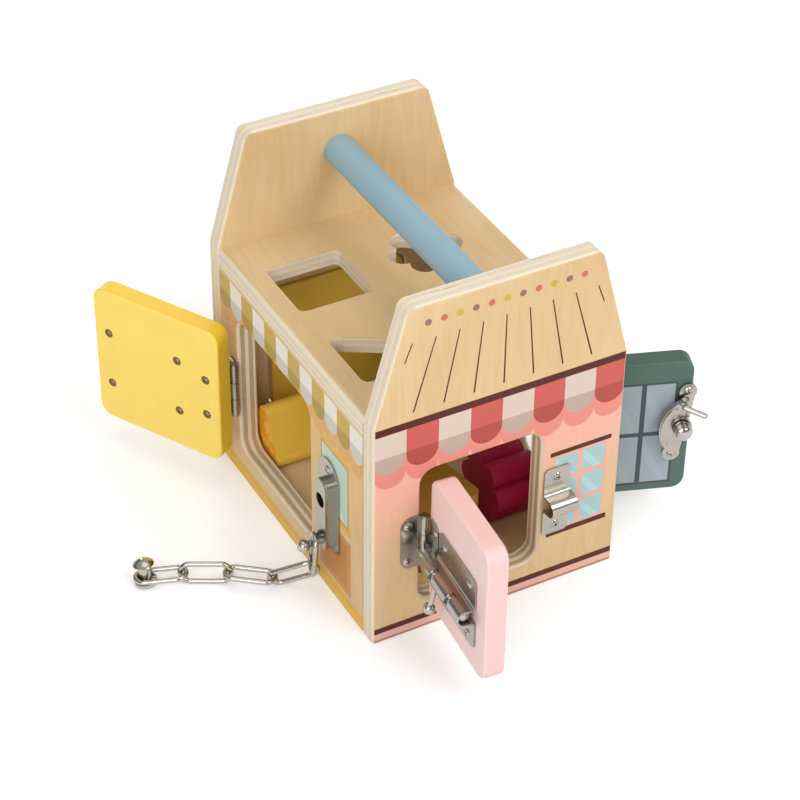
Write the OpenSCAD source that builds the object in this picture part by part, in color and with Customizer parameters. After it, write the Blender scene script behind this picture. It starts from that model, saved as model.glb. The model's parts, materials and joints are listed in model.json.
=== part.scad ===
// Wooden lock activity house: a carry house with four locked doors and a shape sorter top.
// Millimetres, +Z up, origin at the middle of the footprint on the ground, front gable facing -Y.

/* [House] */
// Width across the gables
house_w = 150; // [144:1:176]
// Depth over both gables
house_d = 195; // [190:1:225]
// Height of the sorter plate's upper face
eave_h = 144; // [138:1:165]
// Overall height of the gables
gable_h = 213; // [202:1:240]
// Width of a gable's level top
gable_top_w = 112; // [90:1:125]
// Thickness of gables, side walls and doors
board_t = 12; // [10:0.5:14]
// Thickness of the sorter plate
plate_t = 10; // [8:0.5:13]
// Thickness of the floor panel
floor_t = 12; // [8:0.5:15]
// Rounding of the gables' top corners
gable_r = 9; // [4:0.5:15]
// Rounding of the gables' rims
gable_edge_r = 2; // [0.6:0.1:3]
// Softening of the doors' edges
edge_r = 1.5; // [0.6:0.1:2.5]
// Rounding of the sorter plate's long edges
plate_edge_r = 4; // [1:0.5:4]
// Diameter of the carrying dowel
handle_d = 18; // [14:1:24]
// Height of the carrying dowel's middle line
handle_z = 188; // [180:1:196]
// Depth of the dowel's sockets in the gables
socket_depth = 6; // [3:0.5:8]

/* [Doorways] */
// Height of the front, left and back doorways' lower edges
sill_h = 19; // [17:0.5:24]
// Height of the right doorway's lower edge
right_sill_h = 15.5; // [15:0.5:22]
// Height of the front and back doorways
doorway_h = 89; // [82:1:94]
// Height of the side doorways
side_doorway_h = 92; // [86:1:94]
// Rounding of the doorway corners
doorway_r = 9; // [5:0.5:14]
// Softening of the doorway edges
doorway_edge_r = 2; // [0.8:0.1:3]
// Gap round a door's hinge side, top and bottom
door_gap = 1.3; // [0.9:0.1:1.8]
// Gap at a door's free edge
free_gap = 2.2; // [2.1:0.1:3]
// Width of the front doorway
front_doorway_w = 73; // [72:1:78]
// Hinge side of the front doorway, from the house's corner
front_doorway_inset = 27.5; // [23:0.5:29]
// Width of the left doorway
left_doorway_w = 90; // [89:1:96]
// Hinge side of the left doorway, from the house's corner
left_doorway_inset = 32.5; // [27.5:0.5:35.5]
// Width of the right doorway
right_doorway_w = 61; // [58:1:70]
// Hinge side of the right doorway, from the house's corner
right_doorway_inset = 32.5; // [29.5:0.5:37.5]
// Width of the back doorway
back_doorway_w = 89; // [80:1:92]
// Hinge side of the back doorway, from the house's corner
back_doorway_inset = 32; // [29:0.5:35]

/* [Doors as they stand] */
// Opening of the front door in degrees
front_open = 95; // [0:1:140]
// Opening of the left door in degrees
left_open = 151; // [0:1:168]
// Opening of the right door in degrees
right_open = 110; // [0:1:165]
// Opening of the back door in degrees
back_open = 0; // [0:1:165]

/* [Hinges] */
// Height of a hinge
hinge_h = 34; // [30:1:42]
// Width of a hinge leaf from the pin
leaf_w = 13; // [12:0.5:13.5]
// Rounding of a leaf's outer corners
leaf_r = 6; // [2:0.5:6]
// Thickness of the hinge sheet
leaf_t = 1.2; // [0.8:0.1:1.5]
// Radius of the knuckles
knuckle_r = 2.5; // [2.2:0.1:2.7]
// Radius of the hinge pins
pin_r = 1.3; // [1:0.1:1.5]
// Height of the pin's middle line above the boards
pin_rise = 2.9; // [2.9:0.1:3.2]
// Distance of the leaf screws from the pin
leaf_screw_x = 9; // [8.5:0.5:9.5]
// Spacing of the two screws in a leaf
leaf_screw_pitch = 24; // [18:1:24]

/* [Screws] */
// Radius of a screw head
head_r = 2.6; // [2:0.1:3]
// Height of a screw head
head_h = 1.2; // [0.8:0.1:1.4]
// Radius of a screw shank
shank_r = 1.3; // [1:0.1:1.4]

/* [Slide bolt] */
// Height of the bolt's middle line above the ground
bolt_z = 58.5; // [54:0.5:66]
// Height of the bolt's middle line above the door
bolt_rise = 6; // [5.5:0.1:7]
// Radius of the bolt
bolt_r = 3.6; // [3:0.1:4]
// Distance of the bolt's tip from the hinge pin
bolt_tip = 57.5; // [55:0.5:60]
// Distance of the bolt's tail from the hinge pin
bolt_tail = 4.5; // [4:0.5:10]
// Travel of the bolt
bolt_travel = 20; // [18:0.5:22]
// Near end of the barrel, from the hinge pin
barrel_start = 14; // [13.6:0.1:16]
// Far end of the barrel, from the hinge pin
barrel_end = 58.5; // [57:0.5:62]
// Height of the pressed straps of barrel and keeper
strap_h = 45; // [40:1:50]
// Thickness of the pressed straps
strap_t = 1.2; // [0.8:0.1:1.5]
// Distance of the straps' screws from their upper and lower edges
strap_screw_edge = 6; // [5:0.5:8]
// Distance of the barrel's screws from its ends
barrel_screw_end = 7; // [6:0.5:9]
// Bend radius where a strap leaves its flange
strap_bend = 2.2; // [1:0.1:3]
// Length of the keeper
keeper_w = 16; // [12:1:20]
// Gap between the doorway's edge and the keeper
keeper_gap = 2; // [2:0.5:4]
// Distance of the knob from the hinge pin
knob_x = 24; // [22:0.5:26]
// Distance of the knob's ball from the bolt's middle line
knob_reach = 20; // [16:0.5:22]
// Radius of the knob's ball
knob_ball_r = 3.4; // [2.5:0.1:4]
// Radius of the knob's stem
knob_stem_r = 1.5; // [1.2:0.1:2]
// Lean of the hanging knob away from the door in degrees
knob_lean = 13; // [8:1:25]
// Turn of the knob into its locking notch in degrees
knob_turn = 150; // [120:1:150]

/* [Door chain] */
// Middle of the chain anchor, from the doorway's edge
anchor_gap = 23; // [20:0.5:26]
// Lower end of the chain anchor
anchor_z = 32.5; // [30:0.5:38]
// Width of the chain anchor
anchor_w = 24; // [22:0.5:28]
// Height of the chain anchor
anchor_h = 59; // [54:1:64]
// Width of the anchor's raised box
anchor_box_w = 12; // [11:0.5:13]
// Height of the anchor's raised box above the wall
anchor_rise = 5.8; // [5:0.1:7]
// Radius of the round hole in the anchor
anchor_hole_r = 4.4; // [3:0.1:4.6]
// Radius of the chain wire
wire_r = 1.5; // [1.2:0.1:1.7]
// Outer length of a link
link_len = 31; // [29:0.5:32]
// Inner width of a link
link_gap = 8; // [7.6:0.1:9]
// Play between two links
link_play = 0.35; // [0.3:0.05:0.6]
// Radius of the end button's stem
button_stem_r = 3.4; // [2.8:0.1:3.5]
// Radius of the end button's head
button_head_r = 6; // [5.5:0.1:6.5]
// Height of the end button
button_h = 15.5; // [13:0.5:18]

/* [Crescent lock] */
// Distance of the lock's hub from the hinge pin
sash_x = 51; // [49:0.5:51.5]
// Height of the lock's hub
sash_z = 65.5; // [60:0.5:70]
// Lean of the lock towards the door's free edge in degrees
sash_lean = 9; // [0:1:9]
// Spacing of the two base screws
sash_screw_pitch = 43; // [40:0.5:46]
// Radius of the crescent's curved edge
crescent_r = 21.5; // [20:0.5:24]
// Reach of the crescent beyond the hub
crescent_reach = 12.5; // [11:0.5:14]
// Thickness of the crescent
crescent_t = 3; // [2:0.1:3.5]

/* [Hook and eye] */
// Distance of the hook's stud from the doorway's edge
hook_stud_x = 16; // [12:0.5:20]
// Length of the hook from stud to tip
hook_len = 25; // [22:0.5:28]
// Height of the hook's stud
hook_z = 72; // [66:0.5:84]

/* [Shape sorter] */
// Size of the square, round and flower holes
sorter_hole = 45; // [40:0.5:48]
// Side of the triangular hole
triangle_hole = 50; // [46:0.5:52]
// Middles of the square and triangular holes, from the house's left side
left_hole_inset = 36.5; // [36:0.5:42]
// Middles of the flower and round holes, from the house's right side
right_hole_inset = 48; // [38:0.5:50]
// Middles of the square and flower holes, from the house's back
back_hole_inset = 63.5; // [50:0.5:66]
// Middles of the triangular and round holes, from the house's front
front_hole_inset = 59.5; // [50:0.5:66]
// Smallest clearance of a block in its hole
block_play = 1.5; // [1:0.1:2.5]
// Length of the blocks
block_len = 38; // [28:1:40]
// Place of the square block's near corner behind the house's front
square_block_inset = 32.5; // [30:0.5:36]
// Place of the square block's near corner to the right of the house's middle
square_block_x = 9; // [4:0.5:12]
// Place of the flower block's middle behind the house's front
flower_block_inset = 55.5; // [52:0.5:62]
// Place of the flower block's near end to the right of the house's middle
flower_block_x = 22; // [20:0.5:30]

/* [Hidden] */
$fn = 48;

// The four walls in turn: front, left, right, back
FRONT = 0;
LEFT = 1;
RIGHT = 2;
BACK = 3;
wall_turn = [0, -90, 90, 180];
wall_reach = [house_d/2, house_w/2, house_w/2, house_d/2];
doorway_x = [front_doorway_inset - house_w/2, left_doorway_inset - house_d/2, right_doorway_inset - house_d/2,
    back_doorway_inset - house_w/2];
doorway_low = [sill_h, sill_h, right_sill_h, sill_h];
doorway_rise = [doorway_h, side_doorway_h, side_doorway_h, doorway_h];
doorway_w = [front_doorway_w, left_doorway_w, right_doorway_w, back_doorway_w];
door_open = [front_open, left_open, right_open, back_open];

// Colours
wood = "#DDB888";
nickel = "#C9C8C4";
blue = "#92B2C0";
pink = "#F0CDC6";
yellow = "#F2CB52";
green = "#5F756C";
mustard = "#C9A03A";
crimson = "#8A0A34";
ochre = "#B8862E";

// Inner sizes of the house
inner_d = house_d - 2*board_t;
inner_w = house_w - 2*board_t;
plate_z = eave_h - plate_t;
floor_top = floor_t;
eps = 0.01;
run_fit = 0.08;
loose_fit = 0.3;

// Frames

// X along a wall, Y up and Z out of the wall's outer face
module wall_face(s) {
    rotate([0, 0, wall_turn[s]]) translate([0, -wall_reach[s], 0]) rotate([90, 0, 0]) children();
}

// X from the hinge pin along a door, Y up and Z out of the door's outer face
module door_face(s) {
    wall_face(s)
        translate([doorway_x[s] + door_gap, 0, pin_rise]) rotate([0, -door_open[s], 0])
            translate([0, 0, -pin_rise]) children();
}

// Shared shapes

// Rectangle with round corners, from its lower corner
module round_rect(w, h, r) {
    translate([r, 0]) square([w - 2*r, h]);
    translate([0, r]) square([w, h - 2*r]);
    for (x = [r, w - r], y = [r, h - r]) translate([x, y]) circle(r);
}

// Section of a soft panel's rim: X out from a corner's middle, Y through the thickness
module panel_rim(R, t, r) {
    translate([0, -t]) square([R - r, t]);
    translate([0, -t + r]) square([R, t - 2*r]);
    for (y = [-r, -t + r]) translate([R - r, y]) circle(r);
}

// Section of a cutter that leaves a hole's rims rounded over
module hole_rim(R, t, r) {
    slip = 0.04*r;
    translate([0, -t - 1]) square([R, t + 2]);
    difference() {
        translate([0, -r]) square([R + r, r + 1]);
        translate([R + r - slip, -r + slip]) circle(r);
    }
    difference() {
        translate([0, -t - 1]) square([R + r, r + 1]);
        translate([R + r - slip, -t + r - slip]) circle(r);
    }
}

// Sweeps a rim section, drawn as children, round a rectangle with corner radius R from its lower corner
module rim_sweep(w, h, R) {
    mids = [[w - R, h - R], [R, h - R], [R, R], [w - R, R]];
    runs = [w - 2*R, h - 2*R, w - 2*R, h - 2*R];
    for (k = [0:3]) translate(mids[k]) {
        rotate(90*k) rotate_extrude(angle = 90) children();
        rotate(90*(k + 1)) translate([0, runs[k], 0]) rotate([90, 0, 0]) linear_extrude(runs[k]) children();
    }
}

// Panel below Z 0 with round corners and both rims rounded over
module soft_panel(w, h, R, t, r) {
    rim_sweep(w, h, R) panel_rim(R, t, r);
    translate([R, R, -t]) cube([w - 2*R, h - 2*R, t]);
}

// Cutter for a round-cornered hole through a slab below Z 0, leaving its rims rounded over
module soft_hole(w, h, R, t, r) {
    rim_sweep(w, h, R) hole_rim(R, t, r);
    translate([R, R, -t - 1]) cube([w - 2*R, h - 2*R, t + 2]);
}

// Domed screw whose head seats at height z, its tip just inside the board's far face
module screw(x, y, z) {
    tip_inset = 0.5;
    dome_r = (head_r*head_r + head_h*head_h)/(2*head_h);
    translate([x, y, 0]) {
        translate([0, 0, z]) rotate_extrude() intersection() {
            translate([0, head_h - dome_r]) circle(dome_r);
            square([head_r, head_h]);
        }
        translate([0, 0, -board_t + tip_inset]) cylinder(r = shank_r, h = board_t - tip_inset + z + eps);
    }
}

// Hole for a screw's shank through sheet and board
module screw_hole(x, y) {
    translate([x, y, -board_t - 1]) cylinder(r = shank_r + 0.15, h = board_t + 20);
}

// Cutter for a wall's doorway
module doorway(s) {
    translate([doorway_x[s], doorway_low[s], 0])
        soft_hole(doorway_w[s], doorway_rise[s], doorway_r, board_t, doorway_edge_r);
}

// Boards of the house

// Slope of a gable's upper sides and the middle of its round top corner
gable_lean = (house_w - gable_top_w)/2/(gable_h - eave_h);
gable_norm = [1, gable_lean]/norm([1, gable_lean]);
gable_mid = [gable_top_w/2 - gable_r*(norm([1, gable_lean]) - gable_lean), gable_h - gable_r];

// Outline of a gable: straight sides to the eaves, then leaning in to a level top with round corners
module gable_outline() {
    polygon([[-house_w/2, 0], [house_w/2, 0], [house_w/2, eave_h], [gable_top_w/2, gable_h],
        [-gable_top_w/2, gable_h], [-house_w/2, eave_h]]);
}

// Takes off a gable's two top corners
module gable_corners() {
    reach = gable_r + 3;
    half = (gable_norm + [0, 1])/(1 + gable_norm[1]);
    for (m = [0, 1]) mirror([m, 0]) difference() {
        translate(gable_mid) polygon([[0, 0], reach*gable_norm, reach*half, reach*[0, 1]]);
        translate(gable_mid + 0.02*gable_r*half) circle(gable_r);
    }
}

// Section that takes off a sharp rim: X inwards from the edge, Y out of the face
module rim_cut() {
    r = gable_edge_r;
    slip = 0.04*r;
    difference() {
        translate([-1, -r]) square([r + 1, r + 1]);
        translate([r - slip, -r + slip]) circle(r);
    }
}

// Rounds over the rim along one straight edge, from point p on along angle a
module rim_bar(p, a, len) {
    translate(p) rotate(a) rotate([90, 0, 90]) linear_extrude(len) rim_cut();
}

// Rim cutters for a gable's outer face
module gable_rim() {
    over = 2;
    lean_a = atan(gable_lean);
    slope_start = [house_w/2, eave_h];
    slope_len = norm([gable_top_w/2, gable_h] - slope_start);
    for (m = [0, 1]) mirror([m, 0, 0]) {
        rim_bar([house_w/2, -over], 90, eave_h + 2*over);
        rim_bar(slope_start - over*[-gable_lean, 1]/norm([1, gable_lean]), 90 + lean_a, slope_len + 2*over);
    }
    rim_bar([gable_top_w/2 + over, gable_h], 180, gable_top_w + 2*over);
}

module gable(s) {
    color(wood) wall_face(s) difference() {
        translate([0, 0, -board_t]) linear_extrude(board_t) gable_outline();
        translate([0, 0, -board_t - 1]) linear_extrude(board_t + 2) gable_corners();
        gable_rim();
        translate([0, 0, -board_t]) mirror([0, 0, 1]) gable_rim();
        doorway(s);
        translate([0, handle_z, -board_t - 1]) cylinder(d = handle_d + 2*run_fit, h = socket_depth + 1);
        frame_holes(s);
    }
}

module side_wall(s) {
    color(wood) wall_face(s) difference() {
        translate([-inner_d/2, 0, -board_t]) cube([inner_d, plate_z, board_t]);
        doorway(s);
        frame_holes(s);
    }
}

// Screw holes in a wall for everything that is fixed on it
module frame_holes(s) {
    for (p = frame_leaf_points(s)) screw_hole(p[0], p[1]);
    if (s == FRONT) for (p = keeper_points()) screw_hole(p[0], p[1]);
    if (s == LEFT) for (p = anchor_points()) screw_hole(p[0], p[1]);
    if (s == RIGHT) for (p = sash_keeper_points()) screw_hole(p[0], p[1]);
    if (s == BACK) screw_hole(hook_x(), hook_z);
}

module front_gable() { gable(FRONT); }
module back_gable() { gable(BACK); }
module left_wall() { side_wall(LEFT); }
module right_wall() { side_wall(RIGHT); }

// Plate over the side walls with one hole for each block
module top_plate() {
    r = plate_edge_r;
    color(wood) translate([0, 0, plate_z]) difference() {
        translate([0, inner_d/2, 0]) rotate([90, 0, 0]) linear_extrude(inner_d) {
            translate([-house_w/2, 0]) square([house_w, plate_t - r]);
            translate([-house_w/2 + r, 0]) square([house_w - 2*r, plate_t]);
            for (m = [-1, 1]) translate([m*(house_w/2 - r), plate_t - r]) circle(r);
        }
        translate([0, 0, -1]) linear_extrude(plate_t + 2) sorter_outlines();
    }
}

module sorter_outlines() {
    left = left_hole_inset - house_w/2;
    right = house_w/2 - right_hole_inset;
    back = house_d/2 - back_hole_inset;
    front = front_hole_inset - house_d/2;
    translate([left, back]) square_outline(sorter_hole);
    translate([left, front]) triangle_outline(triangle_hole);
    translate([right, back]) flower_outline(sorter_hole);
    translate([right, front]) circle(d = sorter_hole);
}

module square_outline(w) {
    translate([-w/2, -w/2]) round_rect(w, w, 4);
}

// Equilateral triangle pointing along +X, about the middle of its width
module triangle_outline(w) {
    r = 5;
    rise = w*sqrt(3)/2;
    mids = [[rise/2 - 2*r, 0], [-rise/2 + r, w/2 - r*sqrt(3)], [-rise/2 + r, -w/2 + r*sqrt(3)]];
    for (p = mids) translate(p) circle(r);
    polygon([for (k = [0:2], a = [120*k - 60, 120*k + 60]) mids[k] + 0.98*r*[cos(a), sin(a)]]);
}

// Six round petals about a middle
module flower_outline(w) {
    petal_r = w*0.18;
    circle(w/2 - petal_r);
    for (k = [0:5]) rotate(60*k) translate([w/2 - petal_r, 0]) circle(petal_r);
}

module floor_panel() {
    color(wood) translate([-inner_w/2, -inner_d/2, 0]) cube([inner_w, inner_d, floor_t]);
}

module carry_handle() {
    len = inner_d + 2*socket_depth;
    color(blue) translate([0, len/2, handle_z]) rotate([90, 0, 0]) cylinder(d = handle_d, h = len);
}

// Doors

function door_w(s) = doorway_w[s] - door_gap - free_gap;
function door_h(s) = doorway_rise[s] - 2*door_gap;
function hinge_mid() = sill_h + doorway_h/2;

module door_panel(s) {
    door_face(s) difference() {
        translate([0, doorway_low[s] + door_gap, 0])
            soft_panel(door_w(s), door_h(s), doorway_r - door_gap, board_t, edge_r);
        for (p = door_leaf_points()) screw_hole(p[0], p[1]);
        if (s == FRONT) for (p = barrel_points()) screw_hole(p[0], p[1]);
        if (s == LEFT) for (p = track_points()) screw_hole(p[0], p[1]);
        if (s == RIGHT) for (p = sash_base_points()) screw_hole(p[0], p[1]);
        if (s == BACK) for (m = [-1, 1]) translate([eye_x() + m*eye_ring_r, eye_z(), -board_t - 1])
            cylinder(r = eye_wire_r + 0.15, h = board_t + 2);
    }
}

module front_door() { color(pink) door_panel(FRONT); }
module left_door() { color(yellow) door_panel(LEFT); }
module right_door() { color(green) door_panel(RIGHT); }
module back_door() { color(mustard) door_panel(BACK); }

// Hinges: the frame leaf holds the two outer knuckles, the door leaf the middle one

knuckle_gap = 0.35;
knuckle_len = (hinge_h - 2*knuckle_gap)/3;

function leaf_screw_ys() = [for (m = [-1, 1]) hinge_mid() + m*leaf_screw_pitch/2];
function door_leaf_points() = [for (y = leaf_screw_ys()) [leaf_screw_x, y]];
function frame_leaf_points(s) = [for (y = leaf_screw_ys()) [doorway_x[s] + door_gap - leaf_screw_x, y]];

// One leaf reaching along +X from the pin, with knuckles where own lists their lower ends
module leaf(own, other) {
    low = hinge_mid() - hinge_h/2;
    difference() {
        union() {
            linear_extrude(leaf_t) difference() {
                union() {
                    translate([0, low]) square([leaf_w - leaf_r, hinge_h]);
                    translate([0, low + leaf_r]) square([leaf_w, hinge_h - 2*leaf_r]);
                    for (y = [leaf_r, hinge_h - leaf_r]) translate([leaf_w - leaf_r, low + y]) circle(leaf_r);
                }
                for (y = other) translate([-1, y - knuckle_gap])
                    square([1 + knuckle_r + 0.5, knuckle_len + 2*knuckle_gap]);
            }
            for (y = own) {
                translate([0, y, pin_rise]) rotate([-90, 0, 0]) cylinder(r = knuckle_r, h = knuckle_len);
                translate([0, y, 0]) cube([knuckle_r, knuckle_len, leaf_t]);
                translate([knuckle_r - leaf_t, y, 0]) cube([leaf_t, knuckle_len, pin_rise]);
            }
        }
        translate([0, low - 1, pin_rise]) rotate([-90, 0, 0]) cylinder(r = pin_r + run_fit, h = hinge_h + 2);
        for (p = door_leaf_points()) screw_hole(p[0], p[1]);
    }
}

function knuckle_y(k) = hinge_mid() - hinge_h/2 + k*(knuckle_len + knuckle_gap);

module frame_leaf(s) {
    color(nickel) wall_face(s) translate([doorway_x[s] + door_gap, 0, 0]) mirror([1, 0, 0])
        leaf([knuckle_y(0), knuckle_y(2)], [knuckle_y(1)]);
}

module door_leaf(s) {
    color(nickel) door_face(s) leaf([knuckle_y(1)], [knuckle_y(0), knuckle_y(2)]);
}

module hinge_pin(s) {
    cap_h = 1;
    color(nickel) wall_face(s) translate([doorway_x[s] + door_gap, hinge_mid() - hinge_h/2 - cap_h, pin_rise])
        rotate([-90, 0, 0]) {
            cylinder(r = pin_r, h = hinge_h + 2*cap_h);
            for (y = [0, hinge_h + cap_h]) translate([0, 0, y]) cylinder(r = knuckle_r - 0.4, h = cap_h);
        }
}

module leaf_screws(s) {
    color(nickel) door_face(s) for (p = door_leaf_points()) screw(p[0], p[1], leaf_t);
}

module front_frame_leaf() { frame_leaf(FRONT); }
module left_frame_leaf() { frame_leaf(LEFT); }
module right_frame_leaf() { frame_leaf(RIGHT); }
module back_frame_leaf() { frame_leaf(BACK); }
module front_hinge_pin() { hinge_pin(FRONT); }
module left_hinge_pin() { hinge_pin(LEFT); }
module right_hinge_pin() { hinge_pin(RIGHT); }
module back_hinge_pin() { hinge_pin(BACK); }
module front_door_leaf() { door_leaf(FRONT); }
module left_door_leaf() { door_leaf(LEFT); }
module right_door_leaf() { door_leaf(RIGHT); }
module back_door_leaf() { door_leaf(BACK); }
module front_leaf_screws() { leaf_screws(FRONT); }
module left_leaf_screws() { leaf_screws(LEFT); }
module right_leaf_screws() { leaf_screws(RIGHT); }
module back_leaf_screws() { leaf_screws(BACK); }

module frame_leaf_screws() {
    color(nickel) for (s = [FRONT, LEFT, RIGHT, BACK])
        wall_face(s) for (p = frame_leaf_points(s)) screw(p[0], p[1], leaf_t);
}

// Slide bolt on the front door

strap_inner_r = bolt_r + loose_fit;
strap_screw_y = strap_h/2 - strap_screw_edge;
notch_w = 2*(knob_stem_r + loose_fit);

function barrel_points() = [
    for (x = [barrel_start + barrel_screw_end, barrel_end - barrel_screw_end], m = [-1, 1])
        [x, bolt_z + m*strap_screw_y]];
function keeper_start() = doorway_x[FRONT] + doorway_w[FRONT] + keeper_gap;
function keeper_points() = [for (m = [-1, 1]) [keeper_start() + keeper_w/2, bolt_z + m*strap_screw_y]];

// Section of a pressed strap: two flanges, two bends and an arch over the bolt
module strap_section() {
    ri = strap_inner_r;
    ro = ri + strap_t;
    b = strap_bend;
    difference() {
        union() {
            translate([-strap_h/2, 0]) square([strap_h, strap_t]);
            translate([-ro, 0]) square([2*ro, bolt_rise]);
            translate([0, bolt_rise]) circle(ro);
            for (m = [0, 1]) mirror([m, 0]) difference() {
                translate([ro - eps, strap_t - eps]) square(b + eps);
                translate([ro + b, strap_t + b]) circle(b);
            }
        }
        translate([-ri, -1]) square([2*ri, bolt_rise + 1]);
        translate([0, bolt_rise]) circle(ri);
        for (m = [0, 1]) mirror([m, 0]) difference() {
            translate([ri - eps, -1]) square([b + strap_t + eps, b + strap_t + 1]);
            translate([ro + b, strap_t + b]) circle(b + strap_t);
        }
    }
}

// A length of strap along X with round flange corners
module strap(x, len) {
    corner_r = 3;
    intersection() {
        translate([x, bolt_z, 0]) rotate([90, 0, 90]) linear_extrude(len) strap_section();
        translate([x, bolt_z - strap_h/2, -1]) linear_extrude(30) round_rect(len, strap_h, corner_r);
    }
}

// The bolt's own frame: X along the bolt, -Y along a knob that leans a degrees from hanging straight down
module at_bolt(a) {
    translate([0, bolt_z, bolt_rise]) rotate([-a, 0, 0]) children();
}

// Section that the knob's stem sweeps as it turns: X up from the bolt's middle line, Y out of the door
module knob_sweep() {
    out = 2*(strap_inner_r + strap_t);
    steps = 6;
    last = knob_lean + knob_turn;
    first_side = [sin(knob_lean), cos(knob_lean)]*notch_w/2;
    last_side = [sin(last), cos(last)]*notch_w/2;
    polygon(concat([-first_side, out*[-cos(knob_lean), sin(knob_lean)] - first_side],
        [for (k = [1:steps - 1]) let (a = knob_lean + knob_turn*k/steps) out*[-cos(a), sin(a)]],
        [out*[-cos(last), sin(last)] + last_side, last_side]));
}

module bolt_barrel() {
    out = 2*(strap_inner_r + strap_t);
    color(nickel) door_face(FRONT) difference() {
        strap(barrel_start, barrel_end - barrel_start);
        at_bolt(knob_lean) translate([knob_x, -out, -notch_w/2]) cube([bolt_travel, out, notch_w]);
        for (x = [knob_x, knob_x + bolt_travel]) translate([x - notch_w/2, bolt_z, bolt_rise])
            rotate([90, 0, 90]) linear_extrude(notch_w) knob_sweep();
        for (p = barrel_points()) screw_hole(p[0], p[1]);
    }
}

module bolt_barrel_screws() {
    color(nickel) door_face(FRONT) for (p = barrel_points()) screw(p[0], p[1], strap_t);
}

collar_len = 5.4;
neck_len = collar_len + 2*loose_fit;
neck_r = bolt_r - 1.4;

// Domed end of the bolt, from its rim up
module bolt_dome(h) {
    dome_r = (bolt_r*bolt_r + h*h)/(2*h);
    rotate_extrude() intersection() {
        square([bolt_r, h]);
        translate([0, h - dome_r]) circle(dome_r);
    }
}

// Round bolt with domed ends and a neck for the knob's collar
module bolt_rod() {
    dome = 1.6;
    neck_low = knob_x - neck_len/2;
    neck_high = knob_x + neck_len/2;
    color(nickel) door_face(FRONT) at_bolt(0) rotate([0, 90, 0]) {
        translate([0, 0, bolt_tail + dome]) {
            mirror([0, 0, 1]) bolt_dome(dome);
            cylinder(r = bolt_r, h = neck_low - bolt_tail - dome);
            cylinder(r = neck_r, h = bolt_tip - bolt_tail - 2*dome);
        }
        translate([0, 0, neck_high]) cylinder(r = bolt_r, h = bolt_tip - dome - neck_high);
        translate([0, 0, bolt_tip - dome]) bolt_dome(dome);
    }
}

// Collar on the bolt's neck with the stem and ball that the fingers hold
module bolt_knob() {
    color(nickel) door_face(FRONT) at_bolt(knob_lean) {
        difference() {
            union() {
                translate([knob_x - collar_len/2, 0, 0]) rotate([0, 90, 0])
                    cylinder(r = bolt_r, h = collar_len);
                translate([knob_x, 0, 0]) rotate([90, 0, 0]) cylinder(r = knob_stem_r, h = knob_reach);
            }
            translate([knob_x - collar_len, 0, 0]) rotate([0, 90, 0])
                cylinder(r = neck_r + run_fit, h = 2*collar_len);
        }
        translate([knob_x, -knob_reach, 0]) sphere(knob_ball_r);
    }
}

module bolt_keeper() {
    color(nickel) wall_face(FRONT) difference() {
        strap(keeper_start(), keeper_w);
        for (p = keeper_points()) screw_hole(p[0], p[1]);
    }
}

module bolt_keeper_screws() {
    color(nickel) wall_face(FRONT) for (p = keeper_points()) screw(p[0], p[1], strap_t);
}

// Door chain: anchor on the left wall, five links, an end button and its track on the left door

anchor_t = 1.2;
anchor_x = doorway_x[LEFT] + doorway_w[LEFT] + anchor_gap;
anchor_box_h = anchor_h - 13;
stud_z = anchor_z + 5.5;
stud_r = 2;
stud_neck = 2*wire_r + 4.2;
stud_ball_r = 3.6;

function anchor_points() = [[anchor_x, anchor_z + anchor_h - 6], [anchor_x, anchor_z + anchor_h*0.57]];

// Upright outline with a round top
module anchor_outline(w, h) {
    round_rect_r = min(3, w/2 - 0.1);
    translate([-w/2, 0]) round_rect(w, h - w/2, round_rect_r);
    translate([-w/2, (h - w/2)/2]) square([w, (h - w/2)/2]);
    translate([0, h - w/2]) circle(w/2);
}

module chain_anchor() {
    color(nickel) wall_face(LEFT) difference() {
        translate([anchor_x, anchor_z, 0]) difference() {
            union() {
                linear_extrude(anchor_t) anchor_outline(anchor_w, anchor_h);
                translate([0, 1.5, 0]) linear_extrude(anchor_rise) anchor_outline(anchor_box_w, anchor_box_h);
            }
            translate([0, 1.5 + anchor_t, -1]) linear_extrude(anchor_rise - anchor_t + 1)
                anchor_outline(anchor_box_w - 2*anchor_t, anchor_box_h - 2*anchor_t);
        }
        translate([anchor_points()[1][0], anchor_points()[1][1], 0]) cylinder(r = anchor_hole_r, h = 20);
        translate([anchor_x, stud_z, 0]) cylinder(r = stud_r + run_fit, h = 20);
        screw_hole(anchor_points()[0][0], anchor_points()[0][1]);
    }
}

// One screw on the flange, one inside the box behind the round hole
module chain_anchor_screws() {
    color(nickel) wall_face(LEFT) {
        screw(anchor_points()[0][0], anchor_points()[0][1], anchor_t);
        screw(anchor_points()[1][0], anchor_points()[1][1], 0);
    }
}

// Riveted stud with a ball head that the first link hangs on
module chain_stud() {
    rivet_h = 1;
    ball_at = anchor_rise + stud_neck + sqrt(stud_ball_r*stud_ball_r - stud_r*stud_r);
    color(nickel) wall_face(LEFT) translate([anchor_x, stud_z, 0]) {
        translate([0, 0, anchor_rise - anchor_t - rivet_h]) {
            cylinder(r = stud_r + 0.6, h = rivet_h);
            cylinder(r = stud_r, h = ball_at - anchor_rise + anchor_t + rivet_h);
        }
        translate([0, 0, ball_at]) sphere(stud_ball_r);
    }
}

// How the five links lie: heading and slope of each link's length, and its roll
link_heading = [90, 147, 143, 151, 155];
link_slope = [-80, -24, 1, -1, -5];
link_roll = [108, -107, 6, -82, 4];

bend_r = link_gap/2 + wire_r;
wire_len = link_len - 2*wire_r;

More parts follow.
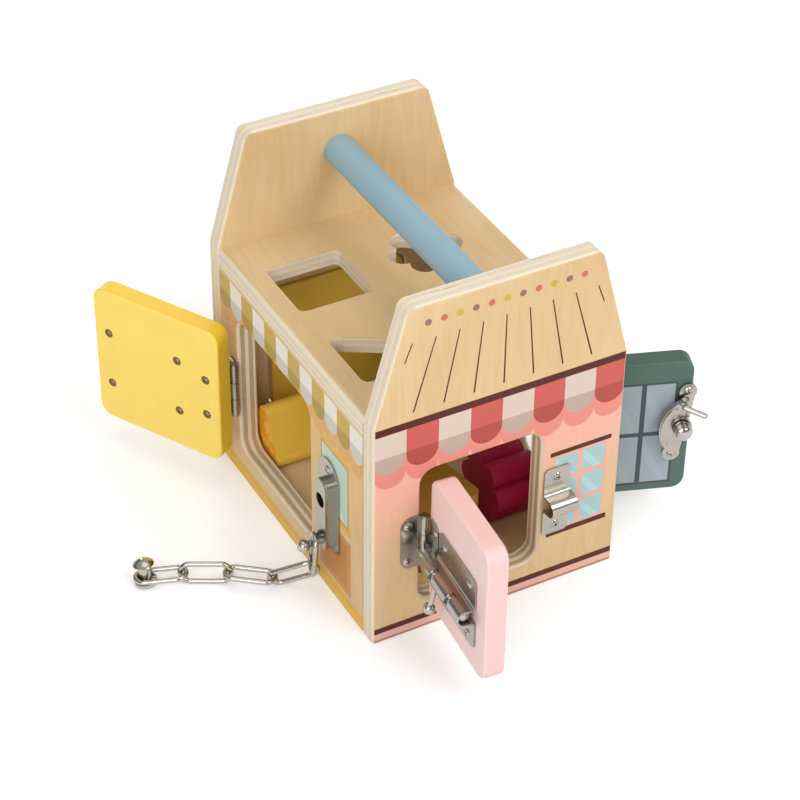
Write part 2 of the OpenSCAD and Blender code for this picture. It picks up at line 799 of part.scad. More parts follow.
function link_along(i) = [cos(link_slope[i])*cos(link_heading[i]), cos(link_slope[i])*sin(link_heading[i]),
    sin(link_slope[i])];
function level_side(i) = [-sin(link_heading[i]), cos(link_heading[i]), 0];
function link_across(i) = cos(link_roll[i])*level_side(i)
    + sin(link_roll[i])*cross(link_along(i), level_side(i));
function link_normal(i) = cross(link_along(i), link_across(i));

// Middle of a link's far bend
function far_bend(i) = link_start(i) + (wire_len - bend_r)*link_along(i);
// Angle round the far bend of link i-1 at which link i pulls
function pull_angle(i) = atan2(link_along(i)*link_across(i - 1), link_along(i)*link_along(i - 1));
// Point on the wire that link i swings about
function swing_point(i) = i == 0
    ? [-house_w/2 - anchor_rise - stud_neck/2, -anchor_x, stud_z]
    : far_bend(i - 1) + bend_r*(cos(pull_angle(i))*link_along(i - 1) + sin(pull_angle(i))*link_across(i - 1));
// Direction of the wire there
function swing_axis(i) = i == 0 ? [1, 0, 0]
    : cos(pull_angle(i))*link_across(i - 1) - sin(pull_angle(i))*link_along(i - 1);
// Tip of a link's near bend on the wire's middle line
function link_start(i) = swing_point(i) - ((i == 0 ? stud_r : wire_r) + link_play + wire_r)*link_along(i);

// Link frame: X along the link from the middle of its near bend, Y across it
module at_link(i) {
    x = link_along(i);
    y = link_across(i);
    z = link_normal(i);
    o = link_start(i) + bend_r*x;
    multmatrix([[x[0], y[0], z[0], o[0]], [x[1], y[1], z[1], o[1]], [x[2], y[2], z[2], o[2]], [0, 0, 0, 1]])
        children();
}

// Welded wire link: two straight sides and two half rings
module link(i) {
    side_len = wire_len - 2*bend_r;
    color(nickel) at_link(i) {
        for (m = [-1, 1]) translate([0, m*bend_r, 0]) rotate([0, 90, 0])
            cylinder(r = wire_r, h = side_len, $fn = 24);
        rotate([0, 0, 90]) rotate_extrude(angle = 180) translate([bend_r, 0]) circle(wire_r, $fn = 24);
        translate([side_len, 0, 0]) rotate([0, 0, -90]) rotate_extrude(angle = 180)
            translate([bend_r, 0]) circle(wire_r, $fn = 24);
    }
}

module chain_link_1() { link(0); }
module chain_link_2() { link(1); }
module chain_link_3() { link(2); }
module chain_link_4() { link(3); }
module chain_link_5() { link(4); }

// Spool at the chain's end: foot disc, stem through the last link and a domed head for the track
module chain_button() {
    foot_t = 2;
    head_t = 2.6;
    foot_r = button_head_r + 0.4;
    low = -wire_r - loose_fit - foot_t;
    dome_r = (button_head_r*button_head_r + head_t*head_t)/(2*head_t);
    color(nickel) at_link(4) translate([wire_len - 2*bend_r, 0, low]) {
        cylinder(r = foot_r, h = foot_t);
        cylinder(r = button_stem_r, h = button_h - head_t);
        translate([0, 0, button_h - head_t]) rotate_extrude() intersection() {
            translate([0, head_t - dome_r]) circle(dome_r);
            square([button_head_r, head_t]);
        }
    }
}

track_x = 28.5;
track_pitch_x = 48;
track_pitch_y = 35;
track_margin = 5;
track_rise = 6.5;
track_hole_r = button_head_r + 0.8;
track_slot_w = 2*button_stem_r + 0.8;
track_hollow_w = 2*track_hole_r + 1;
track_t = 1.2;

function track_points() = [for (x = [track_x, track_x + track_pitch_x], m = [-1, 1])
    [x, hinge_mid() + m*track_pitch_y/2]];

// Pressed track: a flange with four screws and a raised channel with a keyhole slot
module chain_track() {
    w = track_pitch_x + 2*track_margin;
    h = track_pitch_y + 2*track_margin;
    box_w = track_hollow_w + 2*track_t;
    hole_x = track_x - track_margin + 13;
    slot_len = track_pitch_x - 16;
    color(nickel) door_face(LEFT) difference() {
        translate([track_x - track_margin, hinge_mid() - h/2, 0]) {
            linear_extrude(track_t) round_rect(w, h, track_margin);
            translate([3, h/2 - box_w/2, 0]) linear_extrude(track_rise) round_rect(w - 6, box_w, 5);
        }
        translate([track_x - track_margin + 3 + track_t, hinge_mid() - track_hollow_w/2, -1])
            linear_extrude(track_rise - track_t + 1) round_rect(w - 6 - 2*track_t, track_hollow_w, 4);
        translate([hole_x, hinge_mid(), 0]) cylinder(r = track_hole_r, h = 20);
        translate([hole_x, hinge_mid() - track_slot_w/2, 0]) cube([slot_len, track_slot_w, 20]);
        translate([hole_x + slot_len, hinge_mid(), 0]) cylinder(d = track_slot_w, h = 20);
        for (p = track_points()) screw_hole(p[0], p[1]);
    }
}

module chain_track_screws() {
    color(nickel) door_face(LEFT) for (p = track_points()) screw(p[0], p[1], track_t);
}

// Crescent lock on the right door

sash_t = 2;
sash_boss_h = 3.5;
sash_tab_r = 5;
sash_hub_r = 6;
sash_sleeve_r = 4.4;
sash_sleeve_h = 6;
sash_pin_r = 2.5;
cam_z = sash_boss_h + loose_fit;
chord_half = sqrt(crescent_r*crescent_r - pow(crescent_r - crescent_reach, 2));

// Lock frame: Z out of the door at the hub, Y along the leaning base
module at_sash() {
    door_face(RIGHT) translate([sash_x, sash_z, 0]) rotate([0, 0, -sash_lean]) children();
}

function sash_base_points() = [for (m = [-1, 1])
    [sash_x + m*sin(sash_lean)*sash_screw_pitch/2, sash_z + m*cos(sash_lean)*sash_screw_pitch/2]];

module sash_base() {
    waist = 2*sash_tab_r - 1;
    color(nickel) at_sash() difference() {
        union() {
            linear_extrude(sash_t) {
                translate([-waist/2, -sash_screw_pitch/2]) square([waist, sash_screw_pitch]);
                for (m = [-1, 1]) translate([0, m*sash_screw_pitch/2]) circle(sash_tab_r);
            }
            cylinder(r = sash_hub_r, h = sash_boss_h);
        }
        translate([0, 0, -1]) cylinder(r = sash_pin_r, h = sash_boss_h + 2);
        for (m = [-1, 1]) screw_hole(0, m*sash_screw_pitch/2);
    }
}

module sash_base_screws() {
    color(nickel) door_face(RIGHT) for (p = sash_base_points()) screw(p[0], p[1], sash_t);
}

// Headed pivot that the crescent turns on
module sash_pivot() {
    head_z = cam_z + crescent_t + sash_sleeve_h + loose_fit;
    head_t = 1.8;
    dome_r = (sash_sleeve_r*sash_sleeve_r + head_t*head_t)/(2*head_t);
    color(nickel) at_sash() {
        cylinder(r = sash_pin_r, h = head_z + eps);
        translate([0, 0, head_z]) rotate_extrude() intersection() {
            translate([0, head_t - dome_r]) circle(dome_r);
            square([sash_sleeve_r, head_t]);
        }
    }
}

// Half-moon cam: a round segment towards the hinge with a ringed sleeve at its chord and a raised rib
module sash_cam() {
    color(nickel) at_sash() difference() {
        union() {
            translate([0, 0, cam_z]) linear_extrude(crescent_t) {
                intersection() {
                    translate([crescent_r - crescent_reach, 0]) circle(crescent_r, $fn = 96);
                    translate([-crescent_reach - 1, -chord_half]) square([crescent_reach + 1, 2*chord_half]);
                }
                circle(sash_hub_r);
            }
            translate([0, 0, cam_z]) cylinder(r = sash_sleeve_r, h = crescent_t + sash_sleeve_h);
            for (z = [1, 3.4]) translate([0, 0, cam_z + crescent_t + z])
                cylinder(r = sash_sleeve_r + 0.8, h = 1.3);
            translate([0, 0, cam_z + crescent_t - eps]) linear_extrude(0.8) intersection() {
                difference() {
                    translate([crescent_r - crescent_reach, 0]) circle(crescent_r - 0.8, $fn = 96);
                    translate([crescent_r - crescent_reach, 0]) circle(crescent_r - 2.6, $fn = 96);
                }
                translate([-crescent_reach - 1, -chord_half + 7])
                    square([crescent_reach - 2, 2*chord_half - 14]);
            }
        }
        translate([0, 0, cam_z - 1]) cylinder(r = sash_pin_r + run_fit, h = crescent_t + sash_sleeve_h + 2);
    }
}

// Round thumb lever that stands out from the crescent's upper end
module sash_lever() {
    lever_r = 1.6;
    lever_len = 12;
    foot = [-2.6, chord_half - 3.6, cam_z + crescent_t];
    color(nickel) at_sash() translate(foot) {
        cylinder(r = lever_r + 0.6, h = 1.2);
        cylinder(r = lever_r, h = 3);
        translate([0, 0, 3]) sphere(lever_r);
        translate([0, 0, 3]) rotate([0, 56, 0]) {
            cylinder(r = lever_r, h = lever_len);
            translate([0, 0, lever_len]) sphere(lever_r);
        }
    }
}

sash_keeper_t = 1.2;
sash_keeper_h = 16;
sash_keeper_rise = cam_z + crescent_t + 2.4;
sash_plate_w = 12;

// Inner face of the keeper's riser, just beyond the crescent's sweep
function riser_x() = doorway_x[RIGHT] + door_gap + sash_x + chord_half + 1;
function sash_keeper_points() = [for (m = [-1, 1])
    [riser_x() + sash_keeper_t + sash_plate_w/2, sash_z + m*8]];

// Hooked keeper on the wall: a screwed plate, a riser and a lip over the crescent's edge
module sash_keeper() {
    t = sash_keeper_t;
    lip = riser_x() - (doorway_x[RIGHT] + doorway_w[RIGHT]) - 1.5;
    color(nickel) wall_face(RIGHT) difference() {
        union() {
            translate([riser_x() + t, sash_z - sash_keeper_h/2 - 5, 0])
                linear_extrude(t) round_rect(sash_plate_w, sash_keeper_h + 10, 3);
            translate([riser_x(), sash_z - sash_keeper_h/2, 0]) {
                cube([2*t + 3, sash_keeper_h, t]);
                cube([t, sash_keeper_h, sash_keeper_rise + t]);
                translate([-lip, 0, sash_keeper_rise]) cube([lip + t, sash_keeper_h, t]);
            }
        }
        for (p = sash_keeper_points()) screw_hole(p[0], p[1]);
    }
}

module sash_keeper_screws() {
    color(nickel) wall_face(RIGHT) for (p = sash_keeper_points()) screw(p[0], p[1], sash_keeper_t);
}

// Hook and eye on the back door

hook_wire_r = 1.5;
hook_neck_r = 1.7;
hook_ring_r = hook_neck_r + run_fit + hook_wire_r;
hook_rise = hook_wire_r + loose_fit;
eye_ring_r = 4.2;
eye_wire_r = 1.3;
hook_drop = 7;

function hook_x() = doorway_x[BACK] + doorway_w[BACK] + hook_stud_x;
// The eye's distance from the hinge pin
function eye_x() = hook_x() - hook_len - doorway_x[BACK] - door_gap;
function eye_z() = hook_z - 4;

// Headed stud in the wall that the hook hangs on
module hook_stud() {
    neck = 2*hook_rise;
    color(nickel) wall_face(BACK) translate([hook_x(), hook_z, 0]) {
        translate([0, 0, -board_t + 0.5]) cylinder(r = shank_r, h = board_t);
        cylinder(r = hook_neck_r, h = neck + eps);
        translate([0, 0, neck]) rotate_extrude() intersection() {
            translate([0, -1.5]) circle(3.5);
            square([3.5, 2]);
        }
    }
}

// Bent wire hook, hanging straight down from the stud
module hook() {
    color(nickel) wall_face(BACK) translate([hook_x(), hook_z, hook_rise]) {
        rotate_extrude() translate([hook_ring_r, 0]) circle(hook_wire_r, $fn = 24);
        rotate([90, 0, 0]) translate([0, 0, hook_ring_r])
            cylinder(r = hook_wire_r, h = hook_len - hook_ring_r, $fn = 24);
        translate([0, -hook_len, 0]) sphere(hook_wire_r, $fn = 24);
        translate([0, -hook_len, 0]) rotate([0, 90, 0]) cylinder(r = hook_wire_r, h = hook_drop, $fn = 24);
        translate([hook_drop, -hook_len, 0]) sphere(hook_wire_r, $fn = 24);
    }
}

// Bent wire staple in the door that takes the hook's tip from above
module hook_eye() {
    leg = board_t - 3;
    arch_z = 1.4;
    color(nickel) door_face(BACK) translate([eye_x(), eye_z(), arch_z]) {
        for (m = [-1, 1]) translate([m*eye_ring_r, 0, -leg]) cylinder(r = eye_wire_r, h = leg, $fn = 24);
        rotate([90, 0, 0]) rotate_extrude(angle = 180) translate([eye_ring_r, 0])
            circle(eye_wire_r, $fn = 24);
    }
}

// Blocks, lying loose on the floor

block_w = sorter_hole - 2*block_play;

module triangle_block() {
    side = triangle_hole - 2*block_play*sqrt(3);
    rise = side*sqrt(3)/2;
    color(yellow) translate([-inner_w/2 + 1.5, inner_d/2 - side/2 - 0.5, floor_top + rise/2])
        rotate([90, 0, 90]) linear_extrude(block_len) rotate(90) triangle_outline(side);
}

module square_block() {
    turn = 10;
    color(ochre) translate([square_block_x, square_block_inset - house_d/2, floor_top]) rotate([0, 0, turn])
        translate([-block_w/2, block_w/2, 0]) linear_extrude(block_len) square_outline(block_w);
}

// Stands on two petals with its length across the house
module flower_block() {
    petal_r = block_w*0.18;
    foot = (block_w/2 - petal_r)*sin(60) + petal_r;
    color(crimson) translate([flower_block_x, flower_block_inset - house_d/2, floor_top + foot + loose_fit])
        rotate([90, 0, 90]) linear_extrude(block_len - 10) flower_outline(block_w);
}

module round_block() {
    color(blue) translate([inner_w/2 - block_w/2 - 6, inner_d/2 - block_w/2 - 23, floor_top])
        cylinder(d = block_w, h = block_len);
}

front_gable();
back_gable();
left_wall();
right_wall();
top_plate();
floor_panel();
carry_handle();
front_frame_leaf();
left_frame_leaf();
right_frame_leaf();
back_frame_leaf();
front_hinge_pin();
left_hinge_pin();
right_hinge_pin();
back_hinge_pin();
frame_leaf_screws();
front_door();
front_door_leaf();
front_leaf_screws();
left_door();
left_door_leaf();
left_leaf_screws();
right_door();
right_door_leaf();
right_leaf_screws();
back_door();
back_door_leaf();
back_leaf_screws();
bolt_barrel();
bolt_barrel_screws();
bolt_rod();
bolt_knob();
bolt_keeper();
bolt_keeper_screws();
chain_anchor();
chain_anchor_screws();
chain_stud();
chain_link_1();
chain_link_2();
chain_link_3();
chain_link_4();
chain_link_5();
chain_button();
chain_track();
chain_track_screws();
sash_base();
sash_base_screws();
sash_pivot();
sash_cam();
sash_lever();
sash_keeper();
sash_keeper_screws();
hook_stud();
hook();
hook_eye();
triangle_block();
square_block();
flower_block();
round_block();
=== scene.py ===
"""Looks of the wooden lock activity house: printed plywood boards, painted doors and nickel-plated locks."""

import json
import logging
import math
import random
from abc import ABC, abstractmethod
from dataclasses import dataclass
from enum import Enum
from functools import reduce
from typing import Optional, Sequence, Union

import bpy
from bpy.types import Material, Node, NodeInputs, NodeOutputs, NodeTree, Object
from bpy.types import NodeSocket as Socket
from mathutils import Matrix, Vector


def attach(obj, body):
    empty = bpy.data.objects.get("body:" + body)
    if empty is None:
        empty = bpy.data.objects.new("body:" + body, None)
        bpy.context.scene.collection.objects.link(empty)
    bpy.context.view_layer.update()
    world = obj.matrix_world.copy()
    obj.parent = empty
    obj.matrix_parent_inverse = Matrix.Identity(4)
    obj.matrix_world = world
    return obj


logging.basicConfig(level=logging.INFO, format="%(message)s")
LOG = logging.getLogger("lock_house")

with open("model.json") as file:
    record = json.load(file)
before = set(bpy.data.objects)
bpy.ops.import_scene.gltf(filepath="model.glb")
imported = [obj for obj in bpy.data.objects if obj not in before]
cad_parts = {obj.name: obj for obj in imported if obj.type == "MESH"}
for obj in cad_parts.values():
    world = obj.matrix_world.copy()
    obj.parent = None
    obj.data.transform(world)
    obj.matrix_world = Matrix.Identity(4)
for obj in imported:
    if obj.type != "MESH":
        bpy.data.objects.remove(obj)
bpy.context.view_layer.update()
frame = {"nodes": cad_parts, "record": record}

Colour = tuple[float, float, float]
Triple = tuple[float, float, float]
Pair = tuple[float, float]
Area = tuple[float, float, float, float]
Place = tuple[Sequence[float], float]
Corners = list[Vector]
Faces = list[tuple[int, ...]]
Feed = Union[Socket, float, Sequence[float]]

MM = 0.001
UP = Vector((0.0, 0.0, 1.0))
AT_ORIGIN: Place = ((0.0, 0.0, 0.0), 0.0)


def hex_colour(code: str) -> Colour:
    """Turns a display colour code of six hexadecimal digits into linear light."""
    parts = [int(code[k:k + 2], 16) / 255 for k in (0, 2, 4)]
    return tuple(c / 12.92 if c <= 0.04045 else ((c + 0.055) / 1.055) ** 2.4 for c in parts)


def palette(**codes: str) -> dict[str, Colour]:
    """Turns named display colour codes into linear light."""
    return {name: hex_colour(code) for name, code in codes.items()}


class Side(Enum):
    """The four walls, with the turn of each about the upright axis in degrees."""

    FRONT = 0
    LEFT = -90
    RIGHT = 90
    BACK = 180


@dataclass(frozen=True)
class Finish:
    """How a painted or plated surface answers light."""

    colour: Colour
    edge: Optional[Colour] = None
    rough: float = 0.45
    metal: float = 0.0
    grain: float = 0.25


@dataclass(frozen=True)
class HouseSizes:
    """Sizes in millimetres that the prints and door frames share with the construction."""

    width: float = 150.0
    depth: float = 195.0
    eave: float = 144.0
    board: float = 12.0
    plate: float = 10.0
    pin_rise: float = 2.9
    door_gap: float = 1.3
    sill: float = 19.0
    doorway_h: float = 89.0

    def reach(self, side: Side) -> float:
        """Distance of a wall's outer face from the middle, in millimetres."""
        return self.depth / 2 if side in (Side.FRONT, Side.BACK) else self.width / 2


@dataclass(frozen=True)
class Doorway:
    """One doorway, by its left edge and width in millimetres, and its door's opening in degrees."""

    start: float
    width: float
    opening: float


SIZES = HouseSizes()
DOORWAYS = {
    Side.FRONT: Doorway(-47.5, 73.0, 95.0),
    Side.LEFT: Doorway(-65.0, 90.0, 151.0),
    Side.RIGHT: Doorway(-65.0, 61.0, 110.0),
    Side.BACK: Doorway(-43.0, 89.0, 0.0),
}
WALL_NODES = {
    Side.FRONT: "front_gable",
    Side.BACK: "back_gable",
    Side.LEFT: "left_wall",
    Side.RIGHT: "right_wall",
}
DOOR_NODES = {side: f"{side.name.lower()}_door" for side in Side}
WOODEN_NODES = {*WALL_NODES.values(), *DOOR_NODES.values(), "top_plate", "floor_panel", "carry_handle"}
SOFT_EDGE = 0.6

WHITE = (1.0, 1.0, 1.0)
WOOD_LIGHT = hex_colour("DABD8F")
WOOD_DARK = hex_colour("C5A370")
PLY_PALE = hex_colour("E4D7C0")
PLY_DEEP = hex_colour("B89C71")
GLUE_LINE = hex_colour("9A7B55")
# Dark specks for voids in the core plies: painted shade in the gaps.
CORE_GAP_SHADE = hex_colour("6B4A30")
NICKEL = Finish(hex_colour("AFABA3"), rough=0.22, metal=1.0, grain=0.5)
WIRE = Finish(hex_colour("B7B4AC"), rough=0.16, metal=1.0, grain=0.5)
# Colour of the screw crosses: painted shade in the recesses.
RECESS_SHADE = Finish(hex_colour("2E2C2A"), rough=0.55, metal=0.6)
TIP_RING = Finish(hex_colour("7C5630"), rough=0.7)
DOWEL = Finish(hex_colour("8FAEB9"), rough=0.55)
DOOR_PAINTS = {
    Side.FRONT: Finish(hex_colour("EDCFCA"), hex_colour("ECC3BF"), grain=0.2),
    Side.LEFT: Finish(hex_colour("F8D866"), hex_colour("F1C738"), grain=0.2),
    Side.RIGHT: Finish(hex_colour("4D665C"), hex_colour("486056")),
    Side.BACK: Finish(hex_colour("E3BB48"), hex_colour("D5AA3A")),
}


@dataclass
class Graph:
    """Thin helper that builds shader nodes and feeds their sockets."""

    tree: NodeTree

    def node(self, kind: str, **props: object) -> Node:
        """Adds a node.

        Args:
            kind: Node type name.
            **props: Node properties to set.

        Returns:
            The new node.
        """
        made = self.tree.nodes.new(kind)
        for name, value in props.items():
            setattr(made, name, value)
        return made

    def feed(self, socket: Socket, value: Feed) -> None:
        """Links a socket to another, or sets its constant.

        Args:
            socket: The input to fill.
            value: An output socket or a constant.
        """
        if isinstance(value, Socket):
            self.tree.links.new(value, socket)
        elif isinstance(value, (int, float)):
            socket.default_value = value
        elif socket.type == "RGBA":
            socket.default_value = (*value, 1.0)
        else:
            socket.default_value = tuple(value)

    def fill(self, node: Node, **inputs: Feed) -> NodeOutputs:
        """Feeds a node's inputs by name.

        Args:
            node: The node.
            **inputs: Values by socket name, with underscores for spaces.

        Returns:
            The node's outputs.
        """
        for name, value in inputs.items():
            self.feed(node.inputs[name.replace("_", " ")], value)
        return node.outputs

    def line_up(self, kind: str, *values: Feed, **props: object) -> Socket:
        """Adds a node whose first inputs are fed in order.

        Args:
            kind: Node type name.
            *values: Values of the inputs.
            **props: Node properties to set.

        Returns:
            The node's first output.
        """
        made = self.node(kind, **props)
        for socket, value in zip(made.inputs, values):
            self.feed(socket, value)
        return made.outputs[0]

    def math(self, op: str, a: Feed, b: Feed = 0.0) -> Socket:
        """Result of a math node on one or two values."""
        return self.line_up("ShaderNodeMath", a, b, 0.0, operation=op)

    def plus(self, a: Feed, b: Feed) -> Socket:
        """Sum of two values."""
        return self.math("ADD", a, b)

    def minus(self, a: Feed, b: Feed) -> Socket:
        """Difference of two values."""
        return self.math("SUBTRACT", a, b)

    def times(self, *values: Feed) -> Socket:
        """Product of two or more values."""
        return reduce(lambda a, b: self.math("MULTIPLY", a, b), values)

    def length(self, x: Feed, y: Feed) -> Socket:
        """Distance of a point from the origin of its plane."""
        return self.math("SQRT", self.plus(self.times(x, x), self.times(y, y)))

    def share(self, x: Feed, low: float, high: float) -> Socket:
        """Place of a value between two limits, from 0 to 1."""
        return self.math("DIVIDE", self.minus(x, low), high - low)

    def ramp(self, x: Feed, low: Feed, high: Feed, to_low: float = 0.0, to_high: float = 1.0) -> Socket:
        """Smooth step between two limits, from one result before them to another after them."""
        values = (x, low, high, to_low, to_high)
        return self.line_up("ShaderNodeMapRange", *values, interpolation_type="SMOOTHSTEP")

    def fall(self, x: Feed, low: Feed, high: Feed) -> Socket:
        """Smooth step down from 1 to 0 between two limits."""
        return self.ramp(x, low, high, 1.0, 0.0)

    def band(self, x: Feed, low: float, high: float, soft: float = 0.12) -> Socket:
        """Mask of the stretch between two limits, with the half-width of its soft edges."""
        return self.times(self.ramp(x, low - soft, low + soft), self.fall(x, high - soft, high + soft))

    def box(self, u: Feed, z: Feed, area: Area) -> Socket:
        """Mask of a rectangle, given by its left, right, lower and upper edge."""
        return self.times(self.band(u, *area[:2]), self.band(z, *area[2:]))

    def mix(self, fac: Feed, a: Feed, b: Feed, blend: str = "MIX") -> Socket:
        """Mixes two colours.

        Args:
            fac: Share of the second colour.
            a: First colour.
            b: Second colour.
            blend: Blend mode.

        Returns:
            The mixed colour.
        """
        made = self.node("ShaderNodeMix", data_type="RGBA", blend_type=blend)
        for index, value in ((0, fac), (6, a), (7, b)):
            self.feed(made.inputs[index], value)
        return made.outputs[2]

    def split(self, vector: Feed) -> tuple[Socket, ...]:
        """Splits a vector into its three parts."""
        return tuple(self.fill(self.node("ShaderNodeSeparateXYZ"), Vector=vector))

    def join(self, x: Feed, y: Feed, z: Feed) -> Socket:
        """Joins three parts to a vector."""
        return self.line_up("ShaderNodeCombineXYZ", x, y, z)

    def noise(self, vector: Feed, scale: float, detail: float, distortion: float = 0.0) -> Socket:
        """Noise about 0.5, of some fineness, number of finer layers and swirl."""
        made = self.node("ShaderNodeTexNoise")
        return self.fill(made, Vector=vector, Scale=scale, Detail=detail, Distortion=distortion)[0]

    def speckle(self, local: Feed, fineness: Triple, detail: float, distortion: float = 0.0) -> Socket:
        """Noise with its own fineness along each axis, per millimetre."""
        scaled = self.line_up("ShaderNodeVectorMath", local, fineness, operation="MULTIPLY")
        return self.noise(scaled, 1.0, detail, distortion)

    def clear_of_bar(self, part: Feed, bar: Feed) -> Socket:
        """Mask of a pane between its bars, from the place across the pane and the bars' width."""
        near = self.minus(0.5, self.math("ABSOLUTE", self.minus(part, 0.5)))
        return self.math("GREATER_THAN", near, bar)

    def bump(self, height: Feed, strength: float) -> Socket:
        """Normal bent by a height of a fifth of a millimetre."""
        made = self.node("ShaderNodeBump")
        return self.fill(made, Strength=strength, Distance=0.2 * MM, Height=height)[0]

    def group(self, tree: NodeTree, **inputs: Feed) -> NodeOutputs:
        """Outputs of a node group whose inputs are fed by name."""
        return self.fill(self.node("ShaderNodeGroup", node_tree=tree), **inputs)


class Effects:
    """Shader node groups that several materials share, with lengths in millimetres."""

    CELL_SHIFT = 64.0
    PLIES = 5.0
    TONE_EDGE = 0.2
    VALANCE_EDGE = 0.15
    STREAK = (1.1, 1.1, 0.03)
    FIGURE = (0.05, 0.05, 0.006)
    BLOTCH = (0.02, 0.02, 0.012)
    CLOUD = (0.05, 0.05, 0.05)
    SPECK = (0.7, 2.0, 0.7)
    CORE = (0.05, 0.8, 0.05)
    BRUSH = (0.8, 0.8, 0.25)
    WEAR_SHADE = (0.86, 0.85, 0.84)
    MASKED = {"Color": "Color", "Mask": "Float"}

    def __init__(self) -> None:
        """Makes every group."""
        self.wood = self._wood()
        self.ply = self._ply()
        self.awning = self._awning()
        self.window = self._window()
        self.wear = self._wear()

    @staticmethod
    def _start(name: str, ins: dict[str, str],
               outs: dict[str, str]) -> tuple[Graph, NodeOutputs, NodeInputs]:
        """Opens a new group.

        Args:
            name: Its name.
            ins: Kinds of the inputs by name.
            outs: Kinds of the outputs by name.

        Returns:
            The group's graph, the sockets that bring its inputs and those that take its outputs.
        """
        tree = bpy.data.node_groups.new(name, "ShaderNodeTree")
        for way, sockets in (("INPUT", ins), ("OUTPUT", outs)):
            for label, kind in sockets.items():
                tree.interface.new_socket(label, in_out=way, socket_type=f"NodeSocket{kind}")
        graph = Graph(tree)
        return graph, graph.node("NodeGroupInput").outputs, graph.node("NodeGroupOutput").inputs

    def _wood(self) -> NodeTree:
        """Pale wood with fine streaks and a slow figure along local Z.

        Returns:
            The group.
        """
        g, i, o = self._start("wood_figure", {"Local": "Vector", "Light": "Color", "Dark": "Color"},
                              {"Color": "Color", "Height": "Float"})
        streak = g.speckle(i["Local"], self.STREAK, 4.0)
        figure = g.speckle(i["Local"], self.FIGURE, 2.0, 0.8)
        rings = g.math("FRACT", g.times(figure, 6.0))
        ring = g.times(g.ramp(rings, 0.0, 0.7), g.fall(rings, 0.75, 1.0))
        blotch = g.speckle(i["Local"], self.BLOTCH, 2.0)
        tone = g.plus(g.times(g.ramp(streak, 0.35, 0.7), 0.14), g.times(ring, 0.14))
        tone = g.plus(tone, g.times(g.ramp(blotch, 0.3, 0.7), 0.34))
        g.feed(o["Color"], g.mix(tone, i["Light"], i["Dark"]))
        g.feed(o["Height"], streak)
        return g.tree

    def _ply(self) -> NodeTree:
        """Layered edge of a plywood board, from the depth below its outer face.

        Returns:
            The group.
        """
        values = dict.fromkeys(("Depth", "Thickness", "Contrast"), "Float")
        g, i, o = self._start("ply_layers", {"Local": "Vector"} | values, self.MASKED)
        depth = i["Depth"]
        wobble = g.times(g.minus(g.speckle(i["Local"], self.CLOUD, 1.0), 0.5), 0.5)
        layer = g.math("DIVIDE", g.plus(depth, wobble), g.math("DIVIDE", i["Thickness"], self.PLIES))
        odd = g.band(g.math("FRACT", g.times(layer, 0.5)), 0.5, 0.99, 0.05)
        part = g.math("FRACT", layer)
        line = g.minus(1.0, g.times(g.ramp(part, 0.0, 0.14), g.fall(part, 0.86, 1.0)))
        speck = g.speckle(i["Local"], self.SPECK, 3.0)
        colour = g.mix(g.times(odd, i["Contrast"]), PLY_PALE, PLY_DEEP)
        colour = g.mix(g.times(line, i["Contrast"], 0.4), colour, GLUE_LINE)
        colour = g.mix(g.times(g.ramp(speck, 0.5, 0.8), 0.25), colour, GLUE_LINE)
        # Dark specks where the core plies have voids: painted shade in the gaps.
        gap = g.speckle(i["Local"], self.CORE, 2.0)
        colour = g.mix(g.times(g.ramp(gap, 0.7, 0.74), odd, 0.75), colour, CORE_GAP_SHADE)
        inner = g.minus(i["Thickness"], 0.4)
        mask = g.times(g.ramp(depth, 0.25, 0.55), g.math("LESS_THAN", depth, inner))
        g.feed(o["Color"], colour)
        g.feed(o["Mask"], mask)
        return g.tree

    def _awning(self) -> NodeTree:
        """Striped awning with a scalloped valance.

        Returns:
            The group.
        """
        lengths = dict.fromkeys(("U", "Z", "Pitch", "Top", "Bottom", "Tone Line"), "Float")
        colours = dict.fromkeys(("First", "Second", "Shade"), "Color")
        g, i, o = self._start("awning_stripes", lengths | colours, self.MASKED)
        cell = g.math("DIVIDE", i["U"], i["Pitch"])
        odd = g.math("FLOORED_MODULO", g.math("FLOOR", cell), 2.0)
        across = g.minus(g.times(g.math("FRACT", g.plus(cell, self.CELL_SHIFT)), 2.0), 1.0)
        arc = g.math("SQRT", g.math("MAXIMUM", g.minus(1.0, g.times(across, across)), 0.0))
        drop = g.times(g.minus(1.0, arc), i["Pitch"], 0.5)
        low = g.plus(i["Bottom"], drop)
        colour = g.mix(odd, i["First"], i["Second"])
        tone = i["Tone Line"]
        below = g.fall(i["Z"], g.minus(tone, self.TONE_EDGE), g.plus(tone, self.TONE_EDGE))
        shade = g.mix(1.0, colour, i["Shade"], "MULTIPLY")
        colour = g.mix(below, colour, shade)
        above = g.ramp(i["Z"], g.minus(low, self.VALANCE_EDGE), g.plus(low, self.VALANCE_EDGE))
        mask = g.times(above, g.math("LESS_THAN", i["Z"], i["Top"]))
        g.feed(o["Color"], colour)
        g.feed(o["Mask"], mask)
        return g.tree

